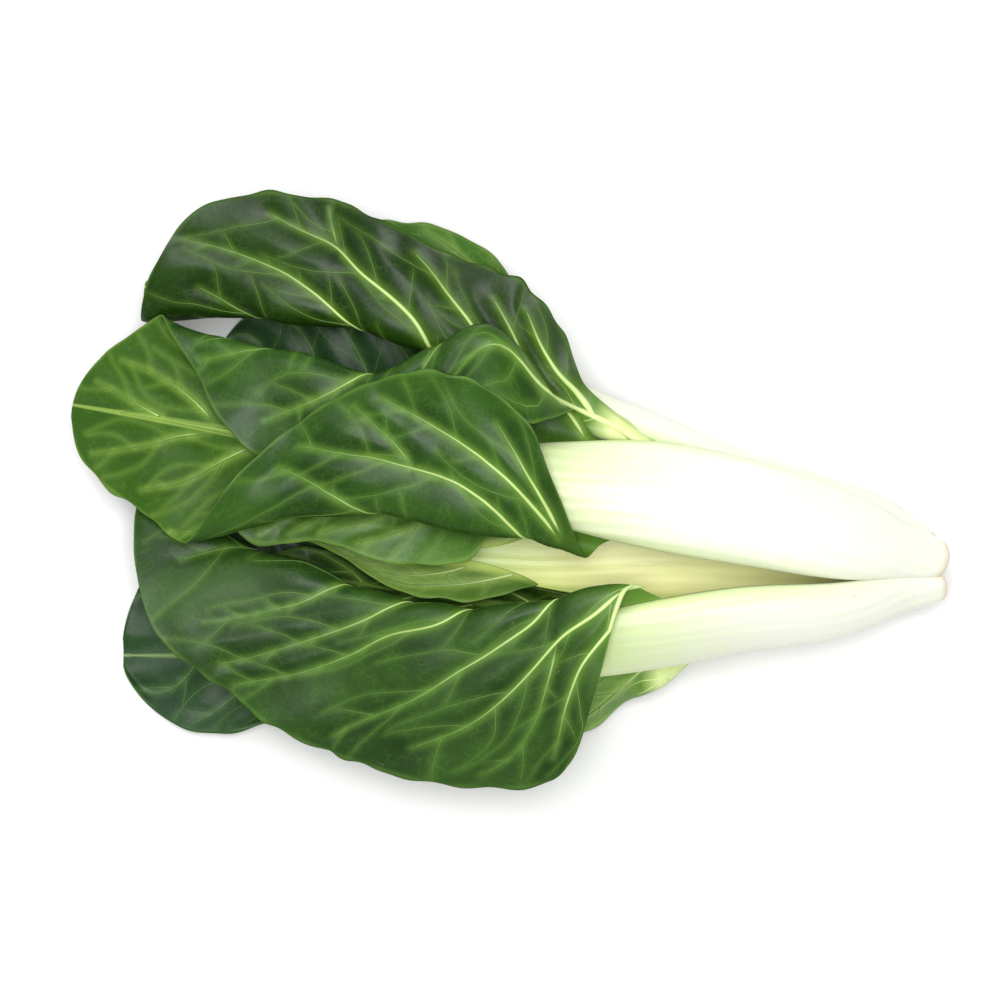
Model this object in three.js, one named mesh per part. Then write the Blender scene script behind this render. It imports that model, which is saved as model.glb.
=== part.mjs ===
// A whole head of white-stalked chard, lying on its side.
// +X points to the cut end, +Y to the back of the head and +Z up. All sizes are in millimetres.
// Nine leaves grow from one crown. Each leaf is a white stalk, which runs on as the midrib,
// and a green blade, a thin sheet that rolls back over the stalk along one or both sides.
import * as THREE from 'three';

// Driving sizes
const SHEET = 0.9; // thickness of a blade
const STALK_GAP = 0.7; // clearance between a stalk and its blade
const STALK_EDGE = 1.0; // thickness of a stalk along its two edges
const TABLE = 0; // height of the surface before the model is centred: stalks are pressed flat on it
const LAST = 10; // a leaf has eleven stations, 0 at the crown and 10 at the tip
const TIP_TRIM = 0.012; // stations left off at the very tip, so that no triangle is empty
const ROLL_STEPS = 80; // steps of the sum that lays a half blade out across the leaf
const MIDRIB_END = 9.5; // station where the midrib runs out
const FIRST_WIDTH = 1.4; // width of a half blade where it begins, as a share of the stalk's half width
const FIRST_SLANT = 1.0; // stations by which that width begins later, for each half width past the stalk
const CUP_EASE = 12; // width in which a half blade takes its lean, past the stalk

// How a stalk changes from crown to tip: shares of its greatest half width and depth, and its cupping in degrees
const HALF_SHARE = [0.27, 0.58, 0.86, 1.0, 0.98, 0.76, 0.44, 0.23, 0.12, 0.07, 0.03];
const DEPTH_SHARE = [0.5, 0.72, 0.92, 1.0, 0.98, 0.88, 0.62, 0.4, 0.26, 0.18, 0.1];
const CUP = [44, 40, 35, 30, 26, 20, 12, 8, 5, 3, 0];

// The crown: a cut disc that the outer stalks butt on, and a core that stands up inside them
const CROWN = {
  faceX: 174,
  y: -31,
  z: 24,
  faceRadius: 12.5,
  rimRadius: 14.5,
  rimBack: 2.2,
  discBack: 3.6,
  coreRadius: 5,
  coreFoot: 8,
  coreBack: 17,
  sides: 28,
};

const COLOURS = {
  crown: 0xe9e3c4,
  stalk: 0xf3f4e2,
  paleStalk: 0xd6da9a,
  topBlade: 0x4a7040,
  frontBlade: 0x3f6638,
  backBlade: 0x3d6136,
  middleBlade: 0x68804c,
  lowBlade: 0x35553f,
  innerBlade: 0x5a7a3c,
};

// The leaves. line holds the midrib's stations, facing the way that the outer side of the leaf looks, in degrees
// from +Y towards +Z. near is the half blade on the right of the midrib, seen from outside with the tip away, and
// far the other one. Along stations 4 to 10, reach is how far the half blade goes from the midrib, fold where
// its roll lies, turn how far it rolls, tight the width of the roll, lean a tilt next to the stalk and bow a
// droop of the margin. start and rise say where the blade begins and how soon it is at full reach.
const LEAVES = [
  {
    name: 'top_leaf',
    wide: 22,
    deep: 8.5,
    notch: 1.0,
    tip: 1.1,
    rows: 20,
    stalkRows: 20,
    columns: 13,
    blade: COLOURS.topBlade,
    line: [
      [165, -26, 33], [153, -20, 44], [129, -14, 55], [93, -6, 63], [57, 0, 68], [21, 4, 68],
      [-15, 9, 65], [-55, 15, 60], [-95, 22, 53], [-135, 29, 43], [-176, 36, 28],
    ],
    facing: [66, 66, 69, 73, 79, 85, 88, 90, 90, 88, 85],
    near: {
      reach: [38, 66, 84, 82, 68, 41, 34],
      fold: [29.5, 26, 22.5, 25, 37, 58, 70],
      turn: [150, 165, 168, 168, 160, 120, 60],
      tight: [12, 14, 20, 26, 26, 26, 26],
      bow: [0, 9, 15, 20, 19, 0, 0],
      start: 4.4,
      rise: 1.0,
    },
    far: {
      reach: [30, 54, 88, 62, 84, 50, 36],
      fold: [31, 32, 60, 35, 38, 40, 54],
      turn: [60, 136, 158, 168, 175, 170, 160],
      tight: [12, 18, 20, 20, 20, 20, 20],
      lean: [12, 24, 22, 10, 4, 0, 0],
      bow: [0, 10, 10, 10, 8, 5, 0],
      start: 4.6,
      rise: 0.9,
    },
  },
  {
    name: 'front_leaf',
    wide: 19.5,
    deep: 8.5,
    notch: 1.3,
    tip: 1.3,
    rows: 19,
    stalkRows: 22,
    columns: 12,
    blade: COLOURS.frontBlade,
    line: [
      [165, -38, 29], [153, -42, 35], [129, -48, 44], [93, -51, 51], [57, -57, 53], [21, -62, 50],
      [-13, -62, 45], [-51, -50, 38], [-87, -37, 31], [-121, -25, 24], [-151, -16, 17],
    ],
    facing: [146, 146, 146, 144, 140, 135, 130, 125, 120, 115, 110],
    near: {
      reach: [44, 56, 58, 44, 34, 28, 22],
      fold: 66,
      turn: [24, 0, -25, -25, -25, -25, -25],
      tight: 24,
      lean: 22,
      start: 2.3,
      rise: 2.7,
    },
    far: {
      reach: [92, 102, 96, 86, 76, 63, 36],
      fold: [32.5, 28, 22, 16, 15, 15, 15],
      turn: [145, 154, 152, 150, 148, 140, 130],
      tight: [14, 15, 18, 22, 24, 24, 24],
      bow: [6, 20, 26, 26, 24, 16, 10],
      sweep: [0, 0, 2, 2, 4, 8, 10],
      start: 3.85,
      rise: 1.35,
    },
  },
  {
    name: 'back_leaf',
    wide: 18,
    deep: 8.5,
    notch: 1.3,
    tip: 1.0,
    rows: 18,
    stalkRows: 20,
    columns: 12,
    blade: COLOURS.backBlade,
    line: [
      [165, -20, 21.5], [153, -10, 22.7], [129, -2, 28.6], [93, 8.5, 35], [57, 23.5, 35], [25, 36.5, 38],
      [-5, 56, 39], [-37, 73, 37], [-73, 80, 32], [-112, 84, 26], [-148, 84, 17],
    ],
    facing: [-12, -10, -6, 0, 8, 24, 48, 62, 66, 68, 70],
    near: {
      reach: [42, 45, 63, 60, 71, 68, 48],
      fold: [22.5, 20.5, 19, 18, 18, 18, 18],
      turn: [112, 130, 152, 160, 155, 150, 130],
      tight: [9, 12, 18, 22, 24, 24, 24],
      bow: 10,
      start: 3.45,
      rise: 2.1,
    },
    far: {
      reach: [18, 20, 35, 42, 34, 16, 10],
      fold: 30,
      turn: 20,
      tight: 40,
      start: 5.2,
      rise: 1.2,
    },
  },
  {
    name: 'middle_leaf',
    wide: 18,
    deep: 7,
    notch: 1.4,
    tip: 1.3,
    rows: 16,
    stalkRows: 16,
    columns: 9,
    blade: COLOURS.middleBlade,
    stalk: COLOURS.paleStalk,
    line: [
      [155, -29, 23], [141, -28, 25], [117, -27, 27], [89, -26, 29], [57, -26, 31], [25, -26, 33],
      [-7, -25, 34], [-43, -22, 32], [-75, -17, 28], [-103, -13, 24], [-129, -9, 19],
    ],
    facing: 265,
    near: {
      reach: [20, 30, 50, 52, 44, 48, 30],
      fold: [24, 24, 24, 22, 20, 20, 20],
      turn: [-60, -120, -150, -158, -165, -168, -165],
      tight: 26,
      wave: 3.5,
      waves: 3.5,
      phase: 0.1,
      start: 5.45,
      rise: 0.8,
    },
    far: {
      reach: [18, 18, 20, 17, 4, 3, 3],
      fold: 24,
      turn: -20,
      tight: 24,
      start: 5.4,
      rise: 0.9,
    },
  },
  {
    name: 'low_front_leaf',
    wide: 16,
    deep: 8.5,
    notch: 1.2,
    tip: 1.3,
    rows: 12,
    stalkRows: 13,
    columns: 7,
    blade: COLOURS.lowBlade,
    line: [
      [165, -38, 17], [153, -43, 15], [125, -46, 13], [93, -48, 11], [57, -51, 9.5], [21, -56, 8.7],
      [-15, -60, 7.6], [-51, -63, 6.5], [-87, -65, 5], [-123, -66, 3.5], [-158, -66, 1.4],
    ],
    facing: [218, 220, 226, 236, 246, 256, 262, 266, 268, 268, 268],
    near: { reach: [24, 30, 34, 40, 48, 60, 52], start: 4.0, rise: 2 },
    far: { reach: [24, 26, 28, 26, 26, 33, 30], start: 4.0, rise: 2 },
  },
  {
    name: 'low_back_leaf',
    wide: 15.5,
    deep: 8.5,
    notch: 1.2,
    tip: 1.3,
    rows: 12,
    stalkRows: 13,
    columns: 7,
    blade: COLOURS.lowBlade,
    line: [
      [165, -28, 13], [153, -25.5, 10], [125, -18.7, 7.6], [93, -10, 8.8], [57, 0, 8.9], [21, 13, 8.8],
      [-11, 23, 8], [-39, 33, 7.5], [-67, 41, 6], [-95, 48, 4], [-121, 54, 2],
    ],
    facing: [288, 288, 290, 290, 288, 284, 278, 274, 272, 272, 272],
    near: { reach: [22, 29, 40, 46, 42, 36, 28], start: 4.3, rise: 0.8 },
    far: { reach: [24, 30, 32, 34, 34, 30, 24], start: 4.3, rise: 0.8 },
  },
  {
    name: 'inner_front_leaf',
    wide: 8,
    deep: 5,
    notch: 1.0,
    tip: 1.3,
    rows: 12,
    stalkRows: 13,
    columns: 7,
    blade: COLOURS.innerBlade,
    stalk: COLOURS.paleStalk,
    line: [
      [155, -37, 27], [141, -40, 30], [117, -42, 31], [89, -44, 31], [61, -46, 31], [33, -46, 31],
      [5, -46, 31], [-23, -42, 28], [-51, -38, 25], [-77, -33, 22], [-99, -27, 19],
    ],
    facing: [185, 185, 190, 196, 202, 210, 218, 226, 234, 242, 248],
    near: { reach: [14, 16, 18, 16, 14, 12, 10], start: 3.9, rise: 0.8 },
    far: { reach: [14, 18, 18, 15, 12, 10, 8], fold: 14, turn: -40, tight: 20, start: 3.9, rise: 0.8 },
  },
  {
    name: 'heart_leaf_1',
    wide: 12,
    deep: 5,
    notch: 1.0,
    tip: 1.3,
    rows: 12,
    stalkRows: 13,
    columns: 7,
    blade: COLOURS.innerBlade,
    stalk: COLOURS.paleStalk,
    line: [
      [155, -26, 35], [141, -22, 41], [117, -17, 47], [89, -11, 51], [61, -4, 54], [33, 2, 54],
      [5, 8, 52], [-23, 14, 49], [-51, 19, 45], [-77, 23, 40], [-103, 26, 35],
    ],
    facing: [75, 75, 75, 75, 75, 75, 76, 78, 80, 82, 84],
    near: { reach: [14, 16, 16, 16, 16, 14, 10], start: 4.2, rise: 0.8 },
    far: { reach: [14, 20, 26, 28, 26, 20, 16], fold: 24, turn: -20, tight: 24, start: 4.2, rise: 0.8 },
  },
  {
    name: 'heart_leaf_2',
    wide: 10,
    deep: 4.5,
    notch: 1.0,
    tip: 1.3,
    rows: 12,
    stalkRows: 13,
    columns: 7,
    blade: COLOURS.innerBlade,
    stalk: COLOURS.paleStalk,
    line: [
      [155, -20, 26], [141, -14, 28], [117, -9, 30], [89, -3, 31], [61, 4, 32], [33, 12, 32],
      [5, 21, 32], [-23, 29, 31], [-49, 35, 30], [-73, 40, 28], [-95, 44, 26],
    ],
    facing: [-10, -8, 0, 8, 16, 26, 36, 46, 54, 60, 64],
    near: { reach: [12, 14, 14, 14, 14, 12, 10], start: 4.2, rise: 0.8 },
    far: { reach: [12, 13, 13, 13, 12, 10, 8], start: 4.2, rise: 0.8 },
  },
];

const STALK_COLUMNS = 8;

const radians = THREE.MathUtils.degToRad;
const clamp = THREE.MathUtils.clamp;

// A value for each of the eleven stations, from one number, or from seven that start at station 4.
function perStation(values, fallback = 0) {
  const given = values ?? fallback;
  if (!Array.isArray(given)) return Array(LAST + 1).fill(given);
  const missing = LAST + 1 - given.length;
  return [...Array(missing).fill(given[0]), ...given];
}

// A smooth curve through the stations' values.
function along(values, station) {
  const v = clamp(station, 0, LAST - 1e-9);
  const i = Math.floor(v);
  const t = v - i;
  const b = values[i];
  const c = values[i + 1];
  const a = i > 0 ? values[i - 1] : 2 * b - c;
  const d = i + 2 <= LAST ? values[i + 2] : 2 * c - b;
  return 0.5 * (2 * b + (c - a) * t + (2 * a - 5 * b + 4 * c - d) * t ** 2 + (3 * b - a - 3 * c + d) * t ** 3);
}

function smooth(from, to, x) {
  const t = clamp((x - from) / Math.max(to - from, 1e-9), 0, 1);
  return t * t * (3 - 2 * t);
}

// One leaf's surface: where the sheet lies at any station and distance from the midrib.
class LeafSurface {
  constructor(leaf) {
    const points = leaf.line.map(([x, y, z]) => new THREE.Vector3(x, y, z));
    this.curve = new THREE.CatmullRomCurve3(points, false, 'catmullrom', 0.5);
    this.facing = perStation(leaf.facing);
    this.half = HALF_SHARE.map((share) => share * leaf.wide);
    this.depth = DEPTH_SHARE.map((share) => share * leaf.deep);
    this.tip = leaf.tip;
    this.sides = { near: this.sideOf(leaf.near), far: this.sideOf(leaf.far) };
    this.midribStart = Math.max(leaf.near.start, leaf.far.start) + leaf.notch;
  }

  sideOf(side) {
    const values = {};
    for (const key of ['reach', 'lean', 'turn', 'bow', 'sweep', 'wave']) values[key] = perStation(side[key]);
    values.fold = perStation(side.fold, 30);
    values.tight = perStation(side.tight, 24);
    return { ...values, start: side.start, rise: side.rise, waves: side.waves ?? 0, phase: side.phase ?? 0 };
  }

  // The midrib's point, its direction, the way out of the head and the way across.
  frame(station) {
    const t = station / LAST;
    const point = this.curve.getPoint(t);
    const forward = this.curve.getTangent(t);
    const angle = radians(along(this.facing, station));
    const out = new THREE.Vector3(0, Math.cos(angle), Math.sin(angle));
    out.addScaledVector(forward, -out.dot(forward)).normalize();
    const across = new THREE.Vector3().crossVectors(out, forward);
    return { point, forward, out, across };
  }

  halfWidth(station) {
    return Math.max(along(this.half, station), 0.6);
  }

  // How far the half blade reaches from the midrib.
  reach(station, side) {
    const { reach, start, rise } = this.sides[side];
    const half = this.halfWidth(station);
    const grown = smooth(start, start + rise, station);
    const first = half * FIRST_WIDTH;
    const full = first + Math.max(along(reach, station) - first, 0) * grown;
    const left = clamp((LAST - station) / this.tip, 0, 1);
    return Math.max(full * Math.sqrt(1 - (1 - left) ** 2), 1);
  }

  // Slope of the sheet at distance w: it cups, leans, rolls over at the fold and droops at the margin.
  slope(w, station, side) {
    const values = this.sides[side];
    const half = this.halfWidth(station);
    const fold = along(values.fold, station);
    const tight = along(values.tight, station);
    const cup = -radians(along(CUP, station)) * clamp(w / half, 0, 1);
    const lean = radians(along(values.lean, station)) * smooth(half * 0.8, half * 0.8 + CUP_EASE, w);
    const turn = radians(along(values.turn, station)) * smooth(fold - tight / 2, fold + tight / 2, w);
    const bow = radians(along(values.bow, station)) * clamp(w / this.reach(station, side), 0, 1.2) ** 2;
    return cup + lean + turn + bow;
  }

  // The point at a station and distance from the midrib, lifted off the sheet by so much, outwards.
  point(station, w, side, lift) {
    const values = this.sides[side];
    const { point, forward, out, across } = this.frame(station);
    const sweep = radians(along(values.sweep, station));
    const flat = w * Math.cos(sweep);
    let over = 0;
    let up = 0;
    const step = flat / ROLL_STEPS;
    for (let k = 0; k < ROLL_STEPS; k += 1) {
      const slope = this.slope((k + 0.5) * step, station, side);
      over += Math.cos(slope) * step;
      up += Math.sin(slope) * step;
    }
    const half = this.halfWidth(station);
    const margin = clamp((w - half) / Math.max(this.reach(station, side) - half, 1e-6), 0, 1);
    const ripple = Math.sin(2 * Math.PI * ((values.waves * (station - 4)) / 6 + values.phase));
    const off = lift + along(values.wave, station) * margin ** 2 * ripple;
    const slope = this.slope(flat, station, side);
    over -= Math.sin(slope) * off;
    up += Math.cos(slope) * off;
    return point
      .addScaledVector(forward, w * Math.sin(sweep))
      .addScaledVector(across, side === 'near' ? over : -over)
      .addScaledVector(out, up);
  }

  // Distance from the midrib of a share of the half blade: more columns under the stalk and in the roll.
  spread(share, station, side) {
    const { fold, tight } = this.sides[side];
    const reach = this.reach(station, side);
    const stalk = Math.min(this.halfWidth(station), 0.25 * reach);
    const rolled = along(fold, station) + along(tight, station) / 2;
    const roll = Math.max(stalk, Math.min(rolled, 0.85 * reach));
    if (share < 0.25) return (stalk * share) / 0.25;
    if (share < 0.6) return stalk + ((roll - stalk) * (share - 0.25)) / 0.35;
    return roll + ((reach - roll) * (share - 0.6)) / 0.4;
  }

  // Station where the blade begins at that share: later towards the midrib, which leaves a rounded notch.
  firstStation(share, side) {
    const { start } = this.sides[side];
    const deep = this.midribStart - start;
    let low = start;
    let high = start + deep;
    const slant = FIRST_SLANT * Math.max(share * FIRST_WIDTH - 1, 0);
    for (let k = 0; k < 24; k += 1) {
      const middle = (low + high) / 2;
      const covered = this.spread(share, middle, side) / this.halfWidth(middle);
      const wanted = start + deep * Math.max(0, 1 - covered) ** 1.5 + slant;
      if (wanted > middle) low = middle;
      else high = middle;
    }
    return (low + high) / 2;
  }
}

function solid(points, triangles) {
  const geometry = new THREE.BufferGeometry();
  geometry.setAttribute('position', new THREE.Float32BufferAttribute(points.flatMap((p) => p.toArray()), 3));
  geometry.setIndex(triangles.flat());
  geometry.computeVertexNormals();
  return geometry;
}

// The blade: the sheet's inner and outer faces, cut into triangles alike, and a rim that joins them.
function bladeGeometry(leaf, surface) {
  const { rows, columns } = leaf;
  const across = 2 * columns + 1;
  const points = [];
  for (const lift of [-SHEET / 2, SHEET / 2]) {
    for (let i = 0; i <= rows; i += 1) {
      for (let j = 0; j < across; j += 1) {
        const side = j >= columns ? 'near' : 'far';
        const share = Math.abs(j - columns) / columns;
        const first = surface.firstStation(share, side);
        const ease = 1 - (1 - i / rows) ** 1.3;
        const station = first + (LAST - TIP_TRIM - first) * ease;
        points.push(surface.point(station, surface.spread(share, station, side), side, lift));
      }
    }
  }
  const inner = (i, j) => i * across + j;
  const outer = (i, j) => (rows + 1 + i) * across + j;
  const triangles = [];
  for (let i = 0; i < rows; i += 1) {
    for (let j = 0; j < across - 1; j += 1) {
      const [a, b, c, d] = [[i, j], [i, j + 1], [i + 1, j + 1], [i + 1, j]];
      const halves = j >= columns ? [[a, b, c], [a, c, d]] : [[a, b, d], [b, c, d]];
      for (const half of halves) {
        triangles.push(half.map(([r, q]) => inner(r, q)));
        triangles.push(half.map(([r, q]) => outer(r, q)).reverse());
      }
    }
  }
  const rim = [];
  for (let j = 0; j < across - 1; j += 1) rim.push([0, j]);
  for (let i = 0; i < rows; i += 1) rim.push([i, across - 1]);
  for (let j = across - 1; j > 0; j -= 1) rim.push([rows, j]);
  for (let i = rows; i > 0; i -= 1) rim.push([i, 0]);
  rim.forEach(([i, j], k) => {
    const [m, n] = rim[(k + 1) % rim.length];
    triangles.push([outer(i, j), inner(m, n), inner(i, j)]);
    triangles.push([outer(i, j), outer(m, n), inner(m, n)]);
  });
  return solid(points, triangles);
}

// The stalk and midrib: a half-moon section on the outer side of the sheet, from the crown almost to the tip.
function stalkGeometry(leaf, surface) {
  const around = 2 * (STALK_COLUMNS + 1);
  const lift = STALK_GAP + SHEET / 2;
  const points = [];
  for (let i = 0; i <= leaf.stalkRows; i += 1) {
    const station = (MIDRIB_END * i) / leaf.stalkRows;
    const half = surface.halfWidth(station);
    const depth = Math.max(along(surface.depth, station), 0.7);
    const edge = Math.min(STALK_EDGE, depth * 0.35);
    const flatFace = [];
    const roundFace = [];
    for (let j = 0; j <= STALK_COLUMNS; j += 1) {
      const u = Math.sin(Math.PI * (j / STALK_COLUMNS - 0.5));
      const side = u >= 0 ? 'near' : 'far';
      const w = Math.abs(u) * half * 0.96;
      const bulge = edge + (depth - edge) * Math.sqrt(Math.max(1 - u * u, 0));
      flatFace.push(surface.point(station, w, side, lift));
      roundFace.push(surface.point(station, w, side, lift + bulge));
    }
    points.push(...flatFace, ...roundFace.reverse());
  }
  for (const point of points) point.z = Math.max(point.z, TABLE);
  const triangles = [];
  for (let i = 0; i < leaf.stalkRows; i += 1) {
    for (let j = 0; j < around; j += 1) {
      const a = i * around + j;
      const b = i * around + ((j + 1) % around);
      triangles.push([a, b, b + around], [a, b + around, a + around]);
    }
  }
  const end = leaf.stalkRows * around;
  for (let j = 0; j < STALK_COLUMNS; j += 1) {
    const [a, b, c, d] = [j, j + 1, around - 2 - j, around - 1 - j];
    triangles.push([c, b, a], [d, c, a]);
    triangles.push([end + a, end + b, end + c], [end + a, end + c, end + d]);
  }
  return solid(points, triangles);
}

function crownGeometry() {
  const { faceRadius, rimRadius, rimBack, discBack, coreRadius, coreFoot, coreBack, sides } = CROWN;
  const profile = [
    [0, -coreBack],
    [coreRadius * 0.6, -coreBack + 0.8],
    [coreRadius, -coreFoot - 2],
    [coreRadius + 1, -coreFoot],
    [rimRadius - 0.5, -discBack],
    [rimRadius, -rimBack],
    [faceRadius, 0],
    [0, 0],
  ];
  const geometry = new THREE.LatheGeometry(profile.map(([r, x]) => new THREE.Vector2(r, x)), sides);
  geometry.rotateZ(-Math.PI / 2);
  return geometry;
}

function piece(name, geometry, colour, roughness) {
  const material = new THREE.MeshStandardMaterial({ color: colour, roughness, metalness: 0 });
  const mesh = new THREE.Mesh(geometry, material);
  mesh.name = name;
  return mesh;
}

const head = new THREE.Group();
const crown = piece('crown', crownGeometry(), COLOURS.crown, 0.6);
crown.position.set(CROWN.faceX, CROWN.y, CROWN.z);
head.add(crown);
for (const leaf of LEAVES) {
  const surface = new LeafSurface(leaf);
  head.add(piece(`${leaf.name}_stalk`, stalkGeometry(leaf, surface), leaf.stalk ?? COLOURS.stalk, 0.35));
  head.add(piece(`${leaf.name}_blade`, bladeGeometry(leaf, surface), leaf.blade, 0.45));
}

// The origin is under the middle of the head's box, on the surface that it lies on.
const box = new THREE.Box3().setFromObject(head);
const middle = box.getCenter(new THREE.Vector3());
head.position.set(-middle.x, -middle.y, -box.min.z);
const swissChard = new THREE.Group();
swissChard.name = 'swiss_chard';
swissChard.add(head);

export default swissChard;
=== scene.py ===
# %% [markdown]
# # A head of white-stalked chard
#
# The object is a whole head of a leafy green, lying on its side. Nine leaves grow from one crown. Each leaf
# is a broad white stalk that runs on as the midrib, and a thin green blade that rolls back over the stalk.
# The frame holds plain solids of every stalk and blade. This file makes a finer piece for each of them, from
# the same midrib lines and the same way of rolling, and adds what only a fine mesh can show: veins, ribs, the
# puckered surface between the veins and the cut end.

# %% Load the frame
import math

import bmesh
import bpy
import numpy as np
from mathutils import Matrix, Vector
from mathutils.kdtree import KDTree


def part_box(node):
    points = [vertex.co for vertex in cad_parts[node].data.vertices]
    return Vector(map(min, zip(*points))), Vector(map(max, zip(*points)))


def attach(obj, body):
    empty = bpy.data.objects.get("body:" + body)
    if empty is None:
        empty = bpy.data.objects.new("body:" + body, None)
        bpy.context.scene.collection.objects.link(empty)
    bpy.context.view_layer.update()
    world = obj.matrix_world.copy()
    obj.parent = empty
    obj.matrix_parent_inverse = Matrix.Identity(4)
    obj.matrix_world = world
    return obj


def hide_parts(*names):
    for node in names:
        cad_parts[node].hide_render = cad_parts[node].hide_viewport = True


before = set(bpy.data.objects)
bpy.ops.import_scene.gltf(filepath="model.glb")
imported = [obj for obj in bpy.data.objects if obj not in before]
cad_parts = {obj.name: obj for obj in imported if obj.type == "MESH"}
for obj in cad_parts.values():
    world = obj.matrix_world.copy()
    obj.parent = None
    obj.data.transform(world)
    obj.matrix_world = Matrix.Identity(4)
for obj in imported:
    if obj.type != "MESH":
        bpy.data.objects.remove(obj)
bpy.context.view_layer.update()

# %% [markdown]
# ## Where the head lies
#
# The midrib lines below are written in millimetres, in the place where the head was drawn. The frame moved
# the whole head so that its origin is under the middle. The crown is the one piece whose place is known in
# both, so the difference between the two gives the move, and every point that is made here gets it. Three
# typed numbers would do as well, until a leaf changed and the frame was packed again.

# %% Find the move from the drawing to the frame
MM = 0.001
CROWN_FACE = 174  # the cut face, along X
CROWN_Y = -31
CROWN_Z = 24

crown_low, crown_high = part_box("crown")
move = np.array([
    crown_high[0] - CROWN_FACE * MM,
    (crown_low[1] + crown_high[1]) / 2 - CROWN_Y * MM,
    (crown_low[2] + crown_high[2]) / 2 - CROWN_Z * MM,
])
print("moved by, in mm", (move / MM).round(2))

# %% [markdown]
# ## The nine leaves
#
# A leaf has eleven stations, 0 at the crown and 10 at the tip. `line` is the midrib through them and `facing`
# the way that the outer side looks, in degrees from +Y towards +Z. `wide` and `deep` are half the stalk's
# width and its depth, `notch` how far back the blade begins at the midrib and `tip` how long its rounded tip
# is. The half blades are called near and far. For stations 4 to 10, `reach` is how far a half blade goes from
# the midrib, `fold` where its roll lies, `turn` how far it rolls, `tight` how wide the roll is, `lean` a tilt
# beside the stalk, `bow` a droop of the margin, `sweep` how much it slants to the tip and `wave` a ripple of
# it. `start` and `rise` say where the blade begins, `blanch` how pale it is there and `thick` how thick its
# side veins are. `veins` gives the course of each large side vein that the photograph shows, as stations and
# distances from the midrib. Each leaf could be modelled by hand instead, but as numbers all nine share one
# formula, and it is the one that the solids were made with.

# %% Describe the leaves
LAST = 10
FIRST_GIVEN = 4  # the first station that a half blade's values are given for
USUAL = {"fold": 30, "turn": 0, "tight": 24, "lean": 0, "bow": 0, "sweep": 0, "wave": 0}  # unless given
SIGNS = {"near": 1, "far": -1}

HALF_SHARE = [0.27, 0.58, 0.86, 1.0, 0.98, 0.76, 0.44, 0.23, 0.12, 0.07, 0.03]  # of wide
DEPTH_SHARE = [0.5, 0.72, 0.92, 1.0, 0.98, 0.88, 0.62, 0.4, 0.26, 0.18, 0.1]  # of deep
CUP = [44, 40, 35, 30, 26, 20, 12, 8, 5, 3, 0]  # degrees by which the sheet is bent at the stalk's edges

LEAVES = {}
LEAVES["top_leaf"] = dict(
    wide=22, deep=8.5, notch=1.0, tip=1.1, seed=11, mesh_step=1.15,
    line=[
        (165, -26, 33), (153, -20, 44), (129, -14, 55), (93, -6, 63), (57, 0, 68), (21, 4, 68),
        (-15, 9, 65), (-55, 15, 60), (-95, 22, 53), (-135, 29, 43), (-176, 36, 28),
    ],
    facing=[66, 66, 69, 73, 79, 85, 88, 90, 90, 88, 85],
    near=dict(
        reach=[38, 66, 84, 82, 68, 41, 34],
        fold=[29.5, 26, 22.5, 25, 37, 58, 70],
        turn=[150, 165, 168, 168, 160, 120, 60],
        tight=[12, 14, 20, 26, 26, 26, 26],
        bow=[0, 9, 15, 20, 19, 0, 0],
        start=4.4, rise=1.0, blanch=0.3,
        veins=[
            [(4.95, 35), (5.2, 48), (5.5, 61), (5.75, 70)],
            [(4.98, 33), (5.15, 40), (5.45, 48), (5.9, 55), (6.35, 63), (6.9, 75)],
            [(5.05, 17), (5.4, 30), (5.7, 37), (6.1, 43), (6.6, 47), (7.2, 55), (7.6, 64)],
            [(6.5, 46), (6.7, 56), (6.95, 65), (7.15, 74)],
            [(6.3, 8), (6.75, 22), (7.05, 33), (7.3, 41), (7.6, 52), (7.8, 59)],
            [(7.4, 4), (7.8, 14), (8.2, 30), (8.6, 42), (8.8, 52)],
            [(8.1, 3), (8.5, 14), (8.8, 24), (9.15, 29)],
            [(8.6, 2), (8.9, 5), (9.1, 10), (9.45, 15), (9.7, 18)],
        ],
    ),
    far=dict(
        reach=[30, 54, 88, 62, 84, 50, 36],
        fold=[31, 32, 60, 35, 38, 40, 54],
        turn=[60, 136, 158, 168, 175, 170, 160],
        tight=[12, 18, 20, 20, 20, 20, 20],
        lean=[12, 24, 22, 10, 4, 0, 0],
        bow=[0, 10, 10, 10, 8, 5, 0],
        start=4.6, rise=0.9,
        veins=[
            [(4.8, 19), (5.1, 34), (5.45, 52), (5.9, 68), (6.3, 78)],
            [(5.4, 13), (5.9, 32), (6.3, 48), (6.7, 60), (7.1, 66)],
            [(6.3, 8), (6.8, 24), (7.3, 42), (7.7, 58), (8.0, 70)],
            [(7.3, 4), (7.7, 22), (8.0, 36), (8.4, 46), (8.75, 52)],
            [(8.0, 3), (8.4, 16), (8.9, 32), (9.2, 38)],
            [(8.55, 2), (8.75, 8), (9.0, 14), (9.3, 19), (9.6, 21)],
            [(9.1, 1), (9.4, 5), (9.65, 9), (9.8, 11)],
        ],
    ),
)
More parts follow.
